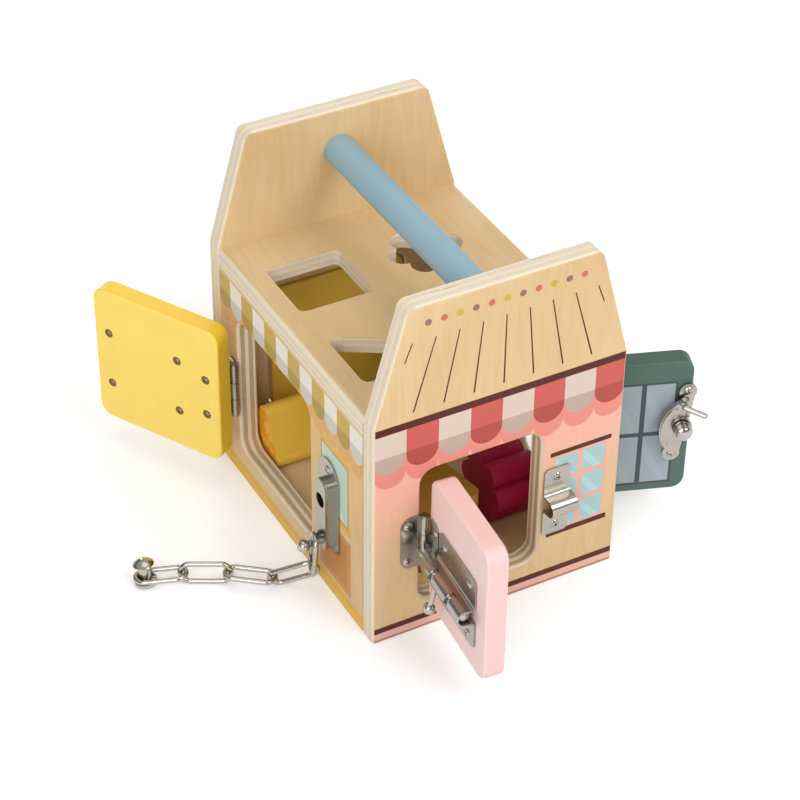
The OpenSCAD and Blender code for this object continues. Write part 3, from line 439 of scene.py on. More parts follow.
    def _window(self) -> NodeTree:
        """Framed window of equal panes on a unit square, with a slanting gleam on each pane.

        Returns:
            The group.
        """
        lengths = dict.fromkeys(("X", "Y", "Columns", "Rows", "Bar X", "Bar Y"), "Float")
        colours = dict.fromkeys(("Frame", "Glass", "Gleam"), "Color")
        g, i, o = self._start("pane_window", lengths | colours, self.MASKED)
        fx = g.math("FRACT", g.times(i["X"], i["Columns"]))
        fy = g.math("FRACT", g.times(i["Y"], i["Rows"]))
        pane = g.times(g.clear_of_bar(fx, i["Bar X"]), g.clear_of_bar(fy, i["Bar Y"]))
        slant = g.math("FRACT", g.plus(g.times(fx, 0.7), g.times(fy, 0.6)))
        glass = g.mix(g.band(slant, 0.42, 0.62, 0.01), i["Glass"], i["Gleam"])
        g.feed(o["Color"], g.mix(pane, i["Frame"], glass))
        inside = g.times(g.band(i["X"], 0.0, 1.0, 0.004), g.band(i["Y"], 0.0, 1.0, 0.004))
        g.feed(o["Mask"], inside)
        return g.tree

    def _wear(self) -> NodeTree:
        """Faint unevenness of paint or plating.

        Returns:
            The group.
        """
        g, i, o = self._start("surface_wear", {"Local": "Vector", "Colour": "Color", "Amount": "Float"},
                              {"Color": "Color", "Height": "Float", "Rough": "Float"})
        cloud = g.speckle(i["Local"], self.CLOUD, 3.0)
        fine = g.speckle(i["Local"], self.BRUSH, 3.0)
        shade = g.mix(1.0, i["Colour"], self.WEAR_SHADE, "MULTIPLY")
        patches = g.times(g.ramp(cloud, 0.35, 0.75), i["Amount"])
        g.feed(o["Color"], g.mix(patches, i["Colour"], shade))
        g.feed(o["Height"], fine)
        g.feed(o["Rough"], g.times(g.minus(fine, 0.5), 0.12))
        return g.tree


@dataclass(frozen=True)
class Canvas:
    """A board's outer face: its graph, the shared groups, and place along it and height in millimetres."""

    g: Graph
    effects: Effects
    u: Feed
    z: Feed


class Printer(ABC):
    """Draws a print over a board's bare colour."""

    @abstractmethod
    def draw(self, face: Canvas, bare: Feed) -> Feed:
        """Draws the print.

        Args:
            face: The face to print.
            bare: Colour under the print.

        Returns:
            The printed colour.
        """


@dataclass(frozen=True)
class PanePrint(Printer):
    """Window of equal glass panes between bars, in millimetres."""

    area: Area
    glass: Colour
    bar: Colour
    columns: int = 2
    rows: int = 2
    bar_w: float = 1.4
    gleam: float = 1.08

    def draw(self, face: Canvas, bare: Feed) -> Feed:
        """Draws the panes.

        Args:
            face: The face to print.
            bare: Colour under the panes.

        Returns:
            The printed colour.
        """
        g = face.g
        u0, u1, z0, z1 = self.area
        window = g.group(face.effects.window, X=g.share(face.u, u0, u1), Y=g.share(face.z, z0, z1),
                         Columns=float(self.columns), Rows=float(self.rows),
                         Bar_X=self.bar_w * self.columns / (u1 - u0),
                         Bar_Y=self.bar_w * self.rows / (z1 - z0), Frame=self.bar, Glass=self.glass,
                         Gleam=tuple(min(1.0, c * self.gleam) for c in self.glass))
        return g.mix(window["Mask"], bare, window["Color"])


@dataclass(frozen=True)
class MottledPrint(Printer):
    """End face in two mottled tones."""

    first: Colour
    second: Colour
    fineness: float = 0.14

    def draw(self, face: Canvas, bare: Feed) -> Feed:
        """Draws the tones, which cover the bare colour."""
        cloud = face.g.noise(face.g.join(face.u, 0.0, face.z), self.fineness, 3.0, 1.2)
        return face.g.mix(face.g.ramp(cloud, 0.44, 0.56), self.first, self.second)


@dataclass(frozen=True)
class RoofPrint(Printer):
    """Gable print of fanned lines and a row of dots, in millimetres."""

    line: Colour
    apex: float = 190.0
    fan_pitch: float = 18.0
    fan_share: float = 0.028
    fan_low: float = 149.0
    fan_high: float = 192.0
    fan_reach: float = 58.0
    dot_pitch: float = 9.0
    dot_z: float = 202.0
    dot_edge: Pair = (1.8, 2.1)
    dot_reach: float = 49.5
    dots: tuple[Colour, Colour, Colour] = (hex_colour("C9635A"), hex_colour("C9A03A"), hex_colour("8A6A66"))

    def draw(self, face: Canvas, bare: Feed) -> Feed:
        """Draws the lines and dots.

        Args:
            face: The face to print.
            bare: Colour under the lines.

        Returns:
            The printed colour.
        """
        g, u, z = face.g, face.u, face.z
        half_on = face.effects.CELL_SHIFT + 0.5
        shrink = g.minus(1.0, g.math("DIVIDE", g.minus(z, SIZES.eave), self.apex))
        fan = g.math("DIVIDE", g.math("DIVIDE", u, shrink), self.fan_pitch)
        away = g.math("ABSOLUTE", g.minus(g.math("FRACT", g.plus(fan, half_on)), 0.5))
        line = g.times(g.math("LESS_THAN", away, self.fan_share), g.band(z, self.fan_low, self.fan_high),
                       g.band(u, -self.fan_reach, self.fan_reach))
        colour = g.mix(line, bare, self.line)
        cell = g.plus(g.math("DIVIDE", u, self.dot_pitch), half_on)
        across = g.times(g.minus(g.math("FRACT", cell), 0.5), self.dot_pitch)
        dot = g.length(across, g.minus(z, self.dot_z))
        mask = g.times(g.fall(dot, *self.dot_edge), g.band(u, -self.dot_reach, self.dot_reach))
        third = g.math("FLOORED_MODULO", g.math("FLOOR", cell), 3.0)
        hue = g.mix(g.band(third, 0.5, 1.5, 0.01), self.dots[0], self.dots[1])
        hue = g.mix(g.band(third, 1.5, 2.5, 0.01), hue, self.dots[2])
        return g.mix(mask, colour, hue)


@dataclass(frozen=True)
class ShopPrint(Printer):
    """Wall print of a striped awning, a tinted wall, a base band, windows and panels, in millimetres."""

    first: Colour
    second: Colour
    tint: Colour
    shadow: Colour
    base: Colour
    line: Colour
    glass: Colour
    frame: Colour
    pitch: float = 14.25
    offset: float = 85.5
    top: float = 132.0
    bottom: float = 111.0
    tone_line: float = 121.0
    windows: tuple[tuple[Area, int, int], ...] = ()
    panels: tuple[Area, ...] = ()
    shade: Colour = (0.74, 0.74, 0.72)
    inset: Colour = (0.86, 0.82, 0.78)
    roof: bool = False
    cover: float = 0.85
    tint_low: float = 35.0
    tint_rise: float = 10.0
    shadow_drop: float = 9.0
    foot: float = 0.6
    foot_line: float = 1.6
    foot_cover: float = 0.65
    base_top: float = 6.0
    line_top: float = 9.8
    panel_rim: float = 4.0
    bar_w: float = 1.6
    gleam: float = 1.14
    ledge: float = 2.0
    head_h: float = 3.0
    sill_h: float = 3.5

    def draw(self, face: Canvas, bare: Feed) -> Feed:
        """Draws the wall.

        Args:
            face: The face to print.
            bare: Colour of the bare wood.

        Returns:
            The printed colour.
        """
        g, u, z = face.g, face.u, face.z
        low_wall = g.math("LESS_THAN", z, self.top)
        tinted = g.times(g.ramp(z, self.tint_low, self.bottom + self.tint_rise), self.cover, low_wall)
        colour = g.mix(tinted, bare, self.tint)
        shadow = self._awning(face, Bottom=self.bottom - self.shadow_drop, Tone_Line=0.0,
                              First=self.shadow, Second=self.shadow)
        colour = g.mix(g.times(shadow["Mask"], self.cover), colour, shadow["Color"])
        colour = g.mix(g.band(z, self.foot, self.base_top), colour, self.base)
        colour = g.mix(g.band(z, self.base_top, self.line_top), colour, self.line)
        colour = g.mix(g.times(g.band(z, self.foot, self.foot_line), self.foot_cover), colour, self.line)
        for area, columns, rows in self.windows:
            colour = self._window(face, colour, area, columns, rows)
        for area in self.panels:
            colour = g.mix(g.box(u, z, area), colour, self.frame)
            inset = g.mix(1.0, colour, self.inset, "MULTIPLY")
            inner = tuple(edge + way * self.panel_rim for edge, way in zip(area, (1, -1, 1, -1)))
            colour = g.mix(g.box(u, z, inner), colour, inset)
        awning = self._awning(face, Bottom=self.bottom, Tone_Line=self.tone_line,
                              First=self.first, Second=self.second, Shade=self.shade)
        colour = g.mix(awning["Mask"], colour, awning["Color"])
        if self.roof:
            colour = g.mix(g.band(z, self.top, SIZES.eave), colour, self.line)
            colour = RoofPrint(self.line).draw(face, colour)
        return colour

    def _awning(self, face: Canvas, **looks: Feed) -> NodeOutputs:
        """Places the awning's stripes, with their lower edge, tone line and colours."""
        along = face.g.plus(face.u, self.offset)
        return face.g.group(face.effects.awning, U=along, Z=face.z, Pitch=self.pitch, Top=self.top, **looks)

    def _window(self, face: Canvas, under: Feed, area: Area, columns: int, rows: int) -> Feed:
        """Draws one window with a head board and a sill.

        Args:
            face: The face to print.
            under: Colour under the window.
            area: Left, right, lower and upper edge.
            columns: Panes across.
            rows: Panes up.

        Returns:
            The colour with the window.
        """
        g = face.g
        panes = PanePrint(area, self.glass, self.frame, columns, rows, self.bar_w, self.gleam)
        colour = panes.draw(face, under)
        u0, u1, z0, z1 = area
        for low, high in ((z1, z1 + self.head_h), (z0 - self.sill_h, z0)):
            board = g.box(face.u, face.z, (u0 - self.ledge, u1 + self.ledge, low, high))
            colour = g.mix(board, colour, self.line)
        return colour


GABLE = {"pitch": 18.75, "offset": 75.0, "top": 139.4, "bottom": 113.5, "tone_line": 125.0, "roof": True}
WALL_PRINTS = {
    Side.FRONT: ShopPrint(
        **palette(first="D1BFB2", second="C35A51", tint="EFAAA2", shadow="DB8072",
                  base="E2B1A2", line="501A0E", glass="A0C0C0", frame="E2A897"),
        **GABLE, shade=(0.74, 0.68, 0.66), windows=(((33.0, 67.0, 36.0, 88.0), 2, 3),)),
    Side.BACK: ShopPrint(
        **palette(first="ECE6DA", second="8FB0BC", tint="C9D6D6", shadow="AABFC4",
                  base="A9C2C8", line="5C6F78", glass="D7E0DA", frame="8FB0BC"),
        **GABLE),
    Side.LEFT: ShopPrint(
        **palette(first="BFA045", second="E2DDD2", tint="DDB06C", shadow="D2A05A",
                  base="E3B43A", line="DBAA3E", glass="B2CCC0", frame="C98A41"),
        windows=(((38.0, 70.0, 58.0, 100.0), 1, 1),), panels=((36.0, 72.0, 12.0, 50.0),)),
    Side.RIGHT: ShopPrint(
        **palette(first="6E877C", second="ECE6DA", tint="C7D2C4", shadow="A9BBAC",
                  base="8FA79B", line="4F665D", glass="AEBBC4", frame="6E877C"),
        windows=(((30.0, 70.0, 46.0, 96.0), 2, 2),)),
}


@dataclass
class Materials:
    """Makes every material of the object and puts it on its pieces, with lengths in millimetres."""

    effects: Effects
    PRINT_EDGE = (0.12, 0.3)
    EDGE_START = 0.5
    EDGE_FULL = 1.2
    # Reach and layer contrast of the doorway jambs: real ply layers, drawn stronger there as painted shade.
    JAMB_SHADE_SIDE = 1.0
    JAMB_SHADE_END = 5.0
    RIM_PLIES = 0.2
    JAMB_SHADE_PLIES = 0.7
    FLAT_PLIES = 0.22
    WOOD_ROUGH = 0.5
    PRINT_GLOSS = 0.08
    WOOD_SPECULAR = 0.25
    PAINT_SPECULAR = 0.35
    WOOD_BUMP = 0.12
    PAINT_BUMP = 0.1
    PLATE_BUMP = 0.04

    @staticmethod
    def put(obj: Object, material: Material) -> None:
        """Gives an object one material."""
        obj.data.materials.clear()
        obj.data.materials.append(material)

    @staticmethod
    def start(name: str) -> tuple[Graph, Material, Node]:
        """Opens a new material.

        Args:
            name: Its name.

        Returns:
            Its graph, the material and its principled shader.
        """
        material = bpy.data.materials.new(name)
        material.use_nodes = True
        graph = Graph(material.node_tree)
        return graph, material, material.node_tree.nodes["Principled BSDF"]

    @staticmethod
    def local(g: Graph, place: Place) -> Socket:
        """Millimetre coordinates in an upright frame turned about Z.

        Args:
            g: The graph.
            place: Origin of the frame in millimetres and its turn in degrees.

        Returns:
            The local vector.
        """
        origin, turn = place
        where = g.node("ShaderNodeTexCoord")
        made = g.node("ShaderNodeMapping", vector_type="TEXTURE")
        return g.fill(made, Vector=where.outputs["Object"], Location=tuple(v * MM for v in origin),
                      Rotation=(0.0, 0.0, math.radians(turn)), Scale=(MM, MM, MM))[0]

    @staticmethod
    def wall_frame(side: Side) -> Place:
        """Origin and turn of a wall's frame: X along it, Y inwards from its outer face, Z up."""
        turn = Matrix.Rotation(math.radians(side.value), 3, "Z")
        return turn @ Vector((0.0, -SIZES.reach(side), 0.0)), side.value

    @staticmethod
    def door_frame(side: Side) -> Place:
        """Origin and turn of a door's frame: X from the hinge pin, Y inwards from its outer face, Z up.

        Args:
            side: The wall that the door is in.

        Returns:
            Origin in millimetres and turn in degrees.
        """
        way = DOORWAYS[side]
        turn = Matrix.Rotation(math.radians(side.value), 3, "Z")
        swing = Matrix.Rotation(math.radians(side.value - way.opening), 3, "Z")
        pin = turn @ Vector((way.start + SIZES.door_gap, -SIZES.pin_rise - SIZES.reach(side), 0.0))
        return pin + swing @ Vector((0.0, SIZES.pin_rise, 0.0)), side.value - way.opening

    def board(self, name: str, place: Place, thickness: float, printer: Optional[Printer] = None,
              flat: bool = False, way: Optional[Doorway] = None) -> Material:
        """Plywood board with layered edges, plainest round its rim and stronger in its doorway as painted
        shade, and, on its outer face, a print.

        Args:
            name: Material name.
            place: Origin of the board's frame in millimetres and its turn in degrees.
            thickness: Board thickness in millimetres.
            printer: Draws the outer face's print.
            flat: True for a board that lies flat, with its depth counted downwards.
            way: Doorway cut through the board.

        Returns:
            The material.
        """
        g, material, shader = self.start(name)
        local = self.local(g, place)
        u, inward, up = g.split(local)
        depth = g.times(up, -1.0) if flat else inward
        grain = g.join(u, up, inward) if flat else local
        wood = g.group(self.effects.wood, Local=grain, Light=WOOD_LIGHT, Dark=WOOD_DARK)
        colour = wood["Color"]
        rough: Feed = self.WOOD_ROUGH
        if printer is not None:
            outer = g.fall(depth, *self.PRINT_EDGE)
            colour = g.mix(outer, colour, printer.draw(Canvas(g, self.effects, u, up), colour))
            rough = g.minus(self.WOOD_ROUGH, g.times(outer, self.PRINT_GLOSS))
        contrast: Feed = self.FLAT_PLIES
        # Round the doorway the real ply layers get more contrast: painted shade in the jambs.
        if way is not None:
            jamb_shade = g.box(u, up, (way.start - self.JAMB_SHADE_SIDE, way.start + way.width + self.JAMB_SHADE_SIDE,
                                 SIZES.sill - self.JAMB_SHADE_END, SIZES.sill + SIZES.doorway_h + self.JAMB_SHADE_END))
            contrast = g.plus(self.RIM_PLIES, g.times(jamb_shade, self.JAMB_SHADE_PLIES))
        ply = g.group(self.effects.ply, Local=grain, Depth=depth, Thickness=thickness, Contrast=contrast)
        g.fill(shader, Base_Color=g.mix(ply["Mask"], colour, ply["Color"]), Roughness=rough,
               Specular_IOR_Level=self.WOOD_SPECULAR, Normal=g.bump(wood["Height"], self.WOOD_BUMP))
        return material

    def paint(self, name: str, finish: Finish, place: Place = AT_ORIGIN,
              printer: Optional[Printer] = None) -> Material:
        """Paint on wood, with a deeper tone on a panel's edges and an optional print on its outer face.

        Args:
            name: Material name.
            finish: The paint.
            place: Origin of the panel's frame in millimetres and its turn in degrees.
            printer: Draws the outer face's print.

        Returns:
            The material.
        """
        g, material, shader = self.start(name)
        local = self.local(g, place)
        u, depth, up = g.split(local)
        colour: Feed = finish.colour
        if printer is not None:
            outer = g.fall(depth, *self.PRINT_EDGE)
            colour = g.mix(outer, colour, printer.draw(Canvas(g, self.effects, u, up), colour))
        if finish.edge is not None:
            edge = g.times(g.ramp(depth, self.EDGE_START, self.EDGE_FULL),
                           g.fall(depth, SIZES.board - self.EDGE_FULL, SIZES.board - self.EDGE_START))
            colour = g.mix(edge, colour, finish.edge)
        wear = g.group(self.effects.wear, Local=local, Colour=colour, Amount=finish.grain)
        g.fill(shader, Base_Color=wear["Color"], Roughness=g.plus(finish.rough, wear["Rough"]),
               Specular_IOR_Level=self.PAINT_SPECULAR, Normal=g.bump(wear["Height"], self.PAINT_BUMP))
        return material

    def plate(self, name: str, finish: Finish) -> Material:
        """Nickel-plated steel.

        Args:
            name: Material name.
            finish: The plating.

        Returns:
            The material.
        """
        g, material, shader = self.start(name)
        local = self.local(g, AT_ORIGIN)
        wear = g.group(self.effects.wear, Local=local, Colour=finish.colour, Amount=finish.grain)
        g.fill(shader, Base_Color=wear["Color"], Metallic=finish.metal,
               Roughness=g.plus(finish.rough, wear["Rough"]), Normal=g.bump(wear["Height"], self.PLATE_BUMP))
        return material

    def plain(self, name: str, finish: Finish) -> Material:
        """Even surface without wear.

        Args:
            name: Material name.
            finish: The surface.

        Returns:
            The material.
        """
        g, material, shader = self.start(name)
        g.fill(shader, Base_Color=finish.colour, Metallic=finish.metal, Roughness=finish.rough)
        return material


@dataclass
class SubAssembly:
    """A set of pieces that are dressed together."""

    materials: Materials

    def dress(self, node: str, material: Material, soften: float = 0.0) -> None:
        """Puts a material on a construction node and softens its sharp edges.

        Args:
            node: Node name.
            material: Its material.
            soften: Width of the softened edge in millimetres.
        """
        obj = frame["nodes"][node]
        Materials.put(obj, material)
        if soften > 0.0:
            weld = obj.modifiers.new("weld", "WELD")
            weld.merge_threshold = 0.01 * MM
            bevel = obj.modifiers.new("soften", "BEVEL")
            bevel.width = soften * MM
            bevel.segments = 2
            bevel.limit_method = "ANGLE"
            bevel.angle_limit = math.radians(40.0)
        LOG.info("dressed %s with %s", node, material.name)


@dataclass
class HouseShell(SubAssembly):
    """Gables, side walls, sorter plate, floor and carrying dowel."""

    def build(self) -> None:
        """Dresses the shell."""
        make = self.materials
        for side, node in WALL_NODES.items():
            place = make.wall_frame(side)
            look = make.board(f"{node}_ply", place, SIZES.board, WALL_PRINTS[side], way=DOORWAYS[side])
            self.dress(node, look)
        for node, top, thickness, soften in (("top_plate", SIZES.eave, SIZES.plate, SOFT_EDGE),
                                             ("floor_panel", SIZES.board, SIZES.board, 0.0)):
            look = make.board(f"{node}_ply", ((0.0, 0.0, top), 0.0), thickness, flat=True)
            self.dress(node, look, soften)
        self.dress("carry_handle", make.paint("dowel_paint", DOWEL))


@dataclass
class Doors(SubAssembly):
    """The four painted doors, with panes on the right one."""

    panes: PanePrint = PanePrint((11.0, 49.0, 22.0, 93.0), hex_colour("98A4AC"), hex_colour("3A4B4C"))

    def build(self) -> None:
        """Dresses the doors."""
        make = self.materials
        for side, node in DOOR_NODES.items():
            art = self.panes if side is Side.RIGHT else None
            self.dress(node, make.paint(f"{node}_paint", DOOR_PAINTS[side], make.door_frame(side), art))


@dataclass
class Hardware(SubAssembly):
    """Hinges, screws, slide bolt, door chain, crescent lock and hook."""

    polished: tuple[str, ...] = ("bolt_knob", "bolt_rod", "chain_button", "hook", "hook_eye", "hook_stud",
                                 "chain_stud", "sash_lever", "sash_pivot")

    def build(self) -> None:
        """Dresses every metal node."""
        nickel = self.materials.plate("nickel_plate", NICKEL)
        wire = self.materials.plate("polished_wire", WIRE)
        for node in frame["nodes"]:
            if node in WOODEN_NODES or node.endswith("_block"):
                continue
            bright = node in self.polished or node.startswith("chain_link")
            self.dress(node, wire if bright else nickel)


@dataclass
class ScrewMarks(SubAssembly):
    """Dark crosses on the domed screw heads as painted shade in their recesses, and dark rings where tips
    show on the doors' inner faces.
    """

    ring_in: float = 1.3
    ring_out: float = 2.8
    edge_ring_out: float = 1.8
    ring_rise: float = 0.04
    ring_sink: float = 0.25
    ring_sides: int = 20
    head_r: float = 2.6
    head_h: float = 1.2
    arm: float = 1.4
    half_w: float = 0.27
    cross_rise: float = 0.03
    cross_sink: float = 0.35
    stations: int = 6
    seed: int = 7
    near_edge: str = "sash_base_screws"
    doors: tuple[tuple[str, Side], ...] = (
        ("front_leaf_screws", Side.FRONT), ("bolt_barrel_screws", Side.FRONT),
        ("left_leaf_screws", Side.LEFT), ("chain_track_screws", Side.LEFT),
        ("right_leaf_screws", Side.RIGHT), ("sash_base_screws", Side.RIGHT), ("back_leaf_screws", Side.BACK))
    walls: tuple[str, ...] = ("frame_leaf_screws", "bolt_keeper_screws", "chain_anchor_screws",
                              "sash_keeper_screws")

    def build(self) -> None:
        """Marks every screw."""
        # The crosses sit on the heads as dark sheets: painted shade in the recesses.
        dark = self.materials.plain("recess_painted_shade", RECESS_SHADE)
        # Dark brown ring round each screw tip on the doors' inner faces.
        tip_ring_look = self.materials.plain("tip_ring", TIP_RING)
        chance = random.Random(self.seed)
        record = frame["record"]["behaviour"]["bodies"]
        bodies = {node: body for body, nodes in record.items() for node in nodes}
        for node in [name for name, _ in self.doors] + list(self.walls):
            verts: Corners = []
            faces: Faces = []
            for points in self._screws(frame["nodes"][node]):
                roll = chance.uniform(0.0, math.pi / 2)
                self._cross(points, self._outward(node, points), roll, verts, faces)
            self._add(f"{node}_recess", verts, faces, dark, bodies[node])
        for node, side in self.doors:
            verts, faces = [], []
            outer = self.edge_ring_out if node == self.near_edge else self.ring_out
            for points in self._screws(frame["nodes"][node]):
                self._ring(points, side, outer, verts, faces)
            self._add(f"{node}_ring", verts, faces, tip_ring_look, bodies[node])

    @staticmethod
    def _add(name: str, verts: Corners, faces: Faces, material: Material, body: str) -> None:
        """Adds one set of marks.

        Args:
            name: Object name.
            verts: Corners.
            faces: Faces.
            material: Its material.
            body: Body that it rides on.
        """
        mesh = bpy.data.meshes.new(name)
        mesh.from_pydata(verts, [], faces)
        obj = bpy.data.objects.new(name, mesh)
        bpy.context.scene.collection.objects.link(obj)
        Materials.put(obj, material)
        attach(obj, body)
        LOG.info("marked %s", name)

    @staticmethod
    def _middle(points: Corners, axis: Vector) -> float:
        """Middle of a screw's reach along an axis."""
        reach = [p.dot(axis) for p in points]
        return (min(reach) + max(reach)) / 2

    def _ring(self, points: Corners, side: Side, outer: float, verts: Corners, faces: Faces) -> None:
        """Adds one ring round a screw's tip.

        Args:
            points: Corners of the screw.
            side: Wall of the door that the screw is in.
            outer: Outer radius in millimetres.
            verts: Corners so far, added to.
            faces: Faces so far, added to.
        """
        origin, turn = Materials.door_frame(side)
        out = self._normal(turn)
        along = UP.cross(out)
        inner = origin.dot(out) - SIZES.board
        centre = along * self._middle(points, along) + UP * self._middle(points, UP)
        profile = ((self.ring_in, -self.ring_sink), (self.ring_in, self.ring_rise),
                   (outer, self.ring_rise), (outer, -self.ring_sink))
        first, count = len(verts), self.ring_sides
        for k in range(count):
            angle = 2 * math.pi * k / count
            spoke = along * math.cos(angle) + UP * math.sin(angle)
            verts.extend(centre + (spoke * radius + out * (inner - rise)) * MM for radius, rise in profile)
        for k in range(count):
            a, b = first + 4 * k, first + 4 * ((k + 1) % count)
            faces.extend((a + m, b + m, b + (m + 1) % 4, a + (m + 1) % 4) for m in range(4))

    @staticmethod
    def _screws(obj: Object) -> list[Corners]:
        """Sorts a node's corners by the screw that they belong to.

        Args:
            obj: The screws' object.

        Returns:
            The corners of each screw.
        """
        keys = [tuple(round(c * 1e6) for c in v.co) for v in obj.data.vertices]
        links: dict[tuple[int, ...], set[tuple[int, ...]]] = {key: set() for key in keys}
        for edge in obj.data.edges:
            a, b = (keys[k] for k in edge.vertices)
            links[a].add(b)
            links[b].add(a)
        screws: list[Corners] = []
        left = set(keys)
        while left:
            stack, found = [min(left)], []
            left.remove(stack[0])
            while stack:
                key = stack.pop()
                found.append(Vector(key) * 1e-6)
                fresh = links[key] & left
                left -= fresh
                stack.extend(sorted(fresh))
            screws.append(found)
        return screws

    def _outward(self, node: str, points: Corners) -> Vector:
        """Finds the way a screw's head faces.

        Args:
            node: The screws' node.
            points: Corners of one screw.

        Returns:
            Unit vector out of the board.
        """
        doors = dict(self.doors)
        if node in doors:
            return self._normal(Materials.door_frame(doors[node])[1])
        middle = sum(points, Vector()) / len(points)
        away = {side: abs(middle.dot(self._normal(side.value)) / MM - SIZES.reach(side) + SIZES.board / 2)
                for side in Side}
        return self._normal(min(away, key=away.get).value)

    @staticmethod
    def _normal(turn: float) -> Vector:
        """Outward normal of a face turned about the upright axis by some degrees."""
        return Matrix.Rotation(math.radians(turn), 3, "Z") @ Vector((0.0, -1.0, 0.0))

    def _cross(self, points: Corners, out: Vector, roll: float, verts: Corners, faces: Faces) -> None:
        """Adds one dark cross that follows a head's dome, as painted shade in its recess.

        Args:
            points: Corners of the screw.
            out: Way the head faces.
            roll: Turn of the cross in radians.
            verts: Corners so far, added to.
            faces: Faces so far, added to.
        """
        side = UP.cross(out)
        apex = side * self._middle(points, side) + UP * self._middle(points, UP)
        apex += out * max(p.dot(out) for p in points)
        dome = (self.head_r ** 2 + self.head_h ** 2) / (2 * self.head_h)
        profile = ((-1, self.cross_rise), (1, self.cross_rise), (1, -self.cross_sink), (-1, -self.cross_sink))
        for turn in (roll, roll + math.pi / 2):
            along = side * math.cos(turn) + UP * math.sin(turn)
            across = out.cross(along)
            first = len(verts)
            for k in range(self.stations + 1):
                x = self.arm * (2 * k / self.stations - 1)
                drop = dome - math.sqrt(dome ** 2 - x ** 2)
                for w, h in profile:
                    verts.append(apex + (along * x + across * w * self.half_w + out * (h - drop)) * MM)
            for k in range(self.stations):
                a = first + 4 * k
                faces.extend((a + m, a + (m + 1) % 4, a + 4 + (m + 1) % 4, a + 4 + m) for m in range(4))
            faces.append((first, first + 3, first + 2, first + 1))
            last = first + 4 * self.stations
            faces.append((last, last + 1, last + 2, last + 3))


@dataclass
class Blocks(SubAssembly):
    """The four loose sorter blocks, with a mottled end on the triangle."""

    triangle_end: float = -61.5
    mottle: MottledPrint = MottledPrint(hex_colour("E8962A"), hex_colour("F4BE3E"))
    paints: tuple[tuple[str, str], ...] = (("triangle_block", "E9BC44"), ("square_block", "A87628"),
                                           ("flower_block", "A5063E"), ("round_block", "8FAEB9"))

    def build(self) -> None:
        """Dresses the blocks."""
        end = ((self.triangle_end, 0.0, 0.0), Side.LEFT.value)
        for node, code in self.paints:
            place, art = (end, self.mottle) if node == "triangle_block" else (AT_ORIGIN, None)
            finish = Finish(hex_colour(code), rough=0.5, grain=0.3)
            self.dress(node, self.materials.paint(f"{node}_paint", finish, place, art), SOFT_EDGE)


@dataclass(frozen=True)
class Lamp:
    """One soft square studio lamp, with lengths in metres."""

    name: str
    place: Triple
    power: float
    size: float


@dataclass(frozen=True)
class Viewpoint:
    """The fitted camera, with its place in metres and its lens and sensor in millimetres."""

    place: Triple = (-0.5293, -0.9485, 0.9072)
    right: Triple = (0.8794, -0.4758, 0.0101)
    forward: Triple = (0.3825, 0.6941, -0.6098)
    lens: float = 110.985
    sensor: float = 36.0


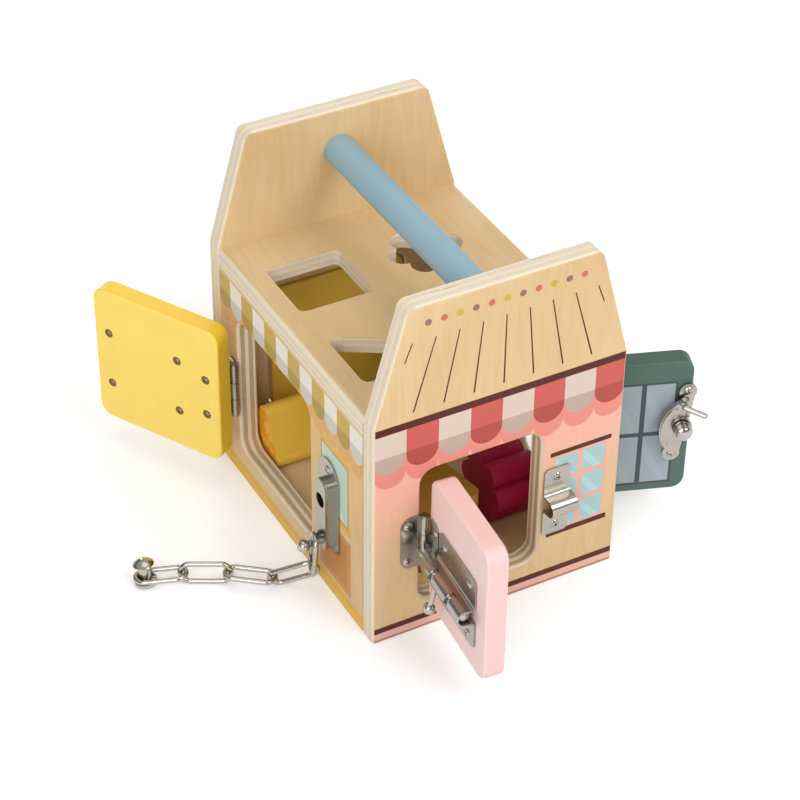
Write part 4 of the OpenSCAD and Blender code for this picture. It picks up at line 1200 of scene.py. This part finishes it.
@dataclass
class Studio:
    """Floor, lamps, surrounding light and camera, with lengths in metres."""

    view: Viewpoint = Viewpoint()
    lamps: tuple[Lamp, ...] = (
        Lamp("key", (0.7, -1.4, 1.5), 18.0, 1.2),
        Lamp("fill", (-1.3, -1.2, 1.1), 17.0, 1.2),
        Lamp("back", (0.6, 1.8, 0.55), 11.0, 0.9),
        Lamp("top", (0.1, 0.1, 2.0), 6.0, 1.4),
    )
    aim: Triple = (0.0, 0.0, 0.08)
    floor_size: float = 12.0
    floor_drop: float = 0.0002
    floor_tone: Colour = (0.88, 0.88, 0.88)
    floor_rough: float = 0.8
    glow_reach: Pair = (0.4, 2.2)
    glow: Pair = (0.24, 0.85)
    low_light: Colour = (1.6, 1.6, 1.6)
    belt_light: Colour = (0.3, 0.3, 0.31)
    belt_start: Pair = (0.1, 0.28)
    belt_end: Pair = (0.4, 0.8)
    world_strength: float = 0.6

    def build(self) -> None:
        """Sets the stage."""
        self._floor()
        for lamp in self.lamps:
            self._lamp(lamp)
        self._surroundings()
        self._camera()

    def _floor(self) -> None:
        """Lays a pale floor that glows towards the horizon, for the eye and for mirrors only."""
        bpy.ops.mesh.primitive_plane_add(size=self.floor_size, location=(0.0, 0.0, -self.floor_drop))
        floor = bpy.context.object
        floor.name = "studio_floor"
        g, material, shader = Materials.start("studio_floor")
        seen = g.node("ShaderNodeLightPath").outputs
        bright = g.math("MAXIMUM", seen["Is Camera Ray"], seen["Is Glossy Ray"])
        bright = g.math("MAXIMUM", bright, seen["Is Transmission Ray"])
        x, y, _ = g.split(g.node("ShaderNodeTexCoord").outputs["Object"])
        glow = g.ramp(g.length(x, y), *self.glow_reach, *self.glow)
        g.fill(shader, Base_Color=self.floor_tone, Roughness=self.floor_rough, Specular_IOR_Level=0.0,
               Emission_Color=WHITE, Emission_Strength=g.times(bright, glow))
        Materials.put(floor, material)

    def _lamp(self, lamp: Lamp) -> None:
        """Hangs one lamp, aimed at the house.

        Args:
            lamp: The lamp.
        """
        data = bpy.data.lights.new(lamp.name, "AREA")
        data.energy = lamp.power
        data.size = lamp.size
        obj = bpy.data.objects.new(lamp.name, data)
        obj.location = lamp.place
        obj.rotation_mode = "QUATERNION"
        obj.rotation_quaternion = (Vector(self.aim) - obj.location).to_track_quat("-Z", "Y")
        bpy.context.scene.collection.objects.link(obj)

    def _surroundings(self) -> None:
        """Surrounds the stage: bright low down, a dark belt for the metal to mirror, white above."""
        world = bpy.data.worlds.new("studio")
        bpy.context.scene.world = world
        world.use_nodes = True
        g = Graph(world.node_tree)
        _, _, up = g.split(g.node("ShaderNodeTexCoord").outputs["Generated"])
        wall = g.mix(g.ramp(up, *self.belt_start), self.low_light, self.belt_light)
        sky = g.mix(g.ramp(up, *self.belt_end), wall, WHITE)
        g.fill(world.node_tree.nodes["Background"], Color=sky, Strength=self.world_strength)

    def _camera(self) -> None:
        """Places the camera at the fitted viewpoint."""
        data = bpy.data.cameras.new("camera")
        data.sensor_width = self.view.sensor
        data.lens = self.view.lens
        cam = bpy.data.objects.new("camera", data)
        forward = Vector(self.view.forward).normalized()
        up = Vector(self.view.right).normalized().cross(forward).normalized()
        right = forward.cross(up).normalized()
        turn = Matrix((right, up, -forward)).transposed()
        cam.matrix_world = Matrix.Translation(self.view.place) @ turn.to_4x4()
        bpy.context.scene.collection.objects.link(cam)
        bpy.context.scene.camera = cam


def main() -> None:
    """Builds the whole scene."""
    bpy.context.scene.view_settings.view_transform = "Standard"
    materials = Materials(Effects())
    for kind in (HouseShell, Doors, Hardware, ScrewMarks, Blocks):
        kind(materials).build()
    Studio().build()


if __name__ == "__main__":
    main()
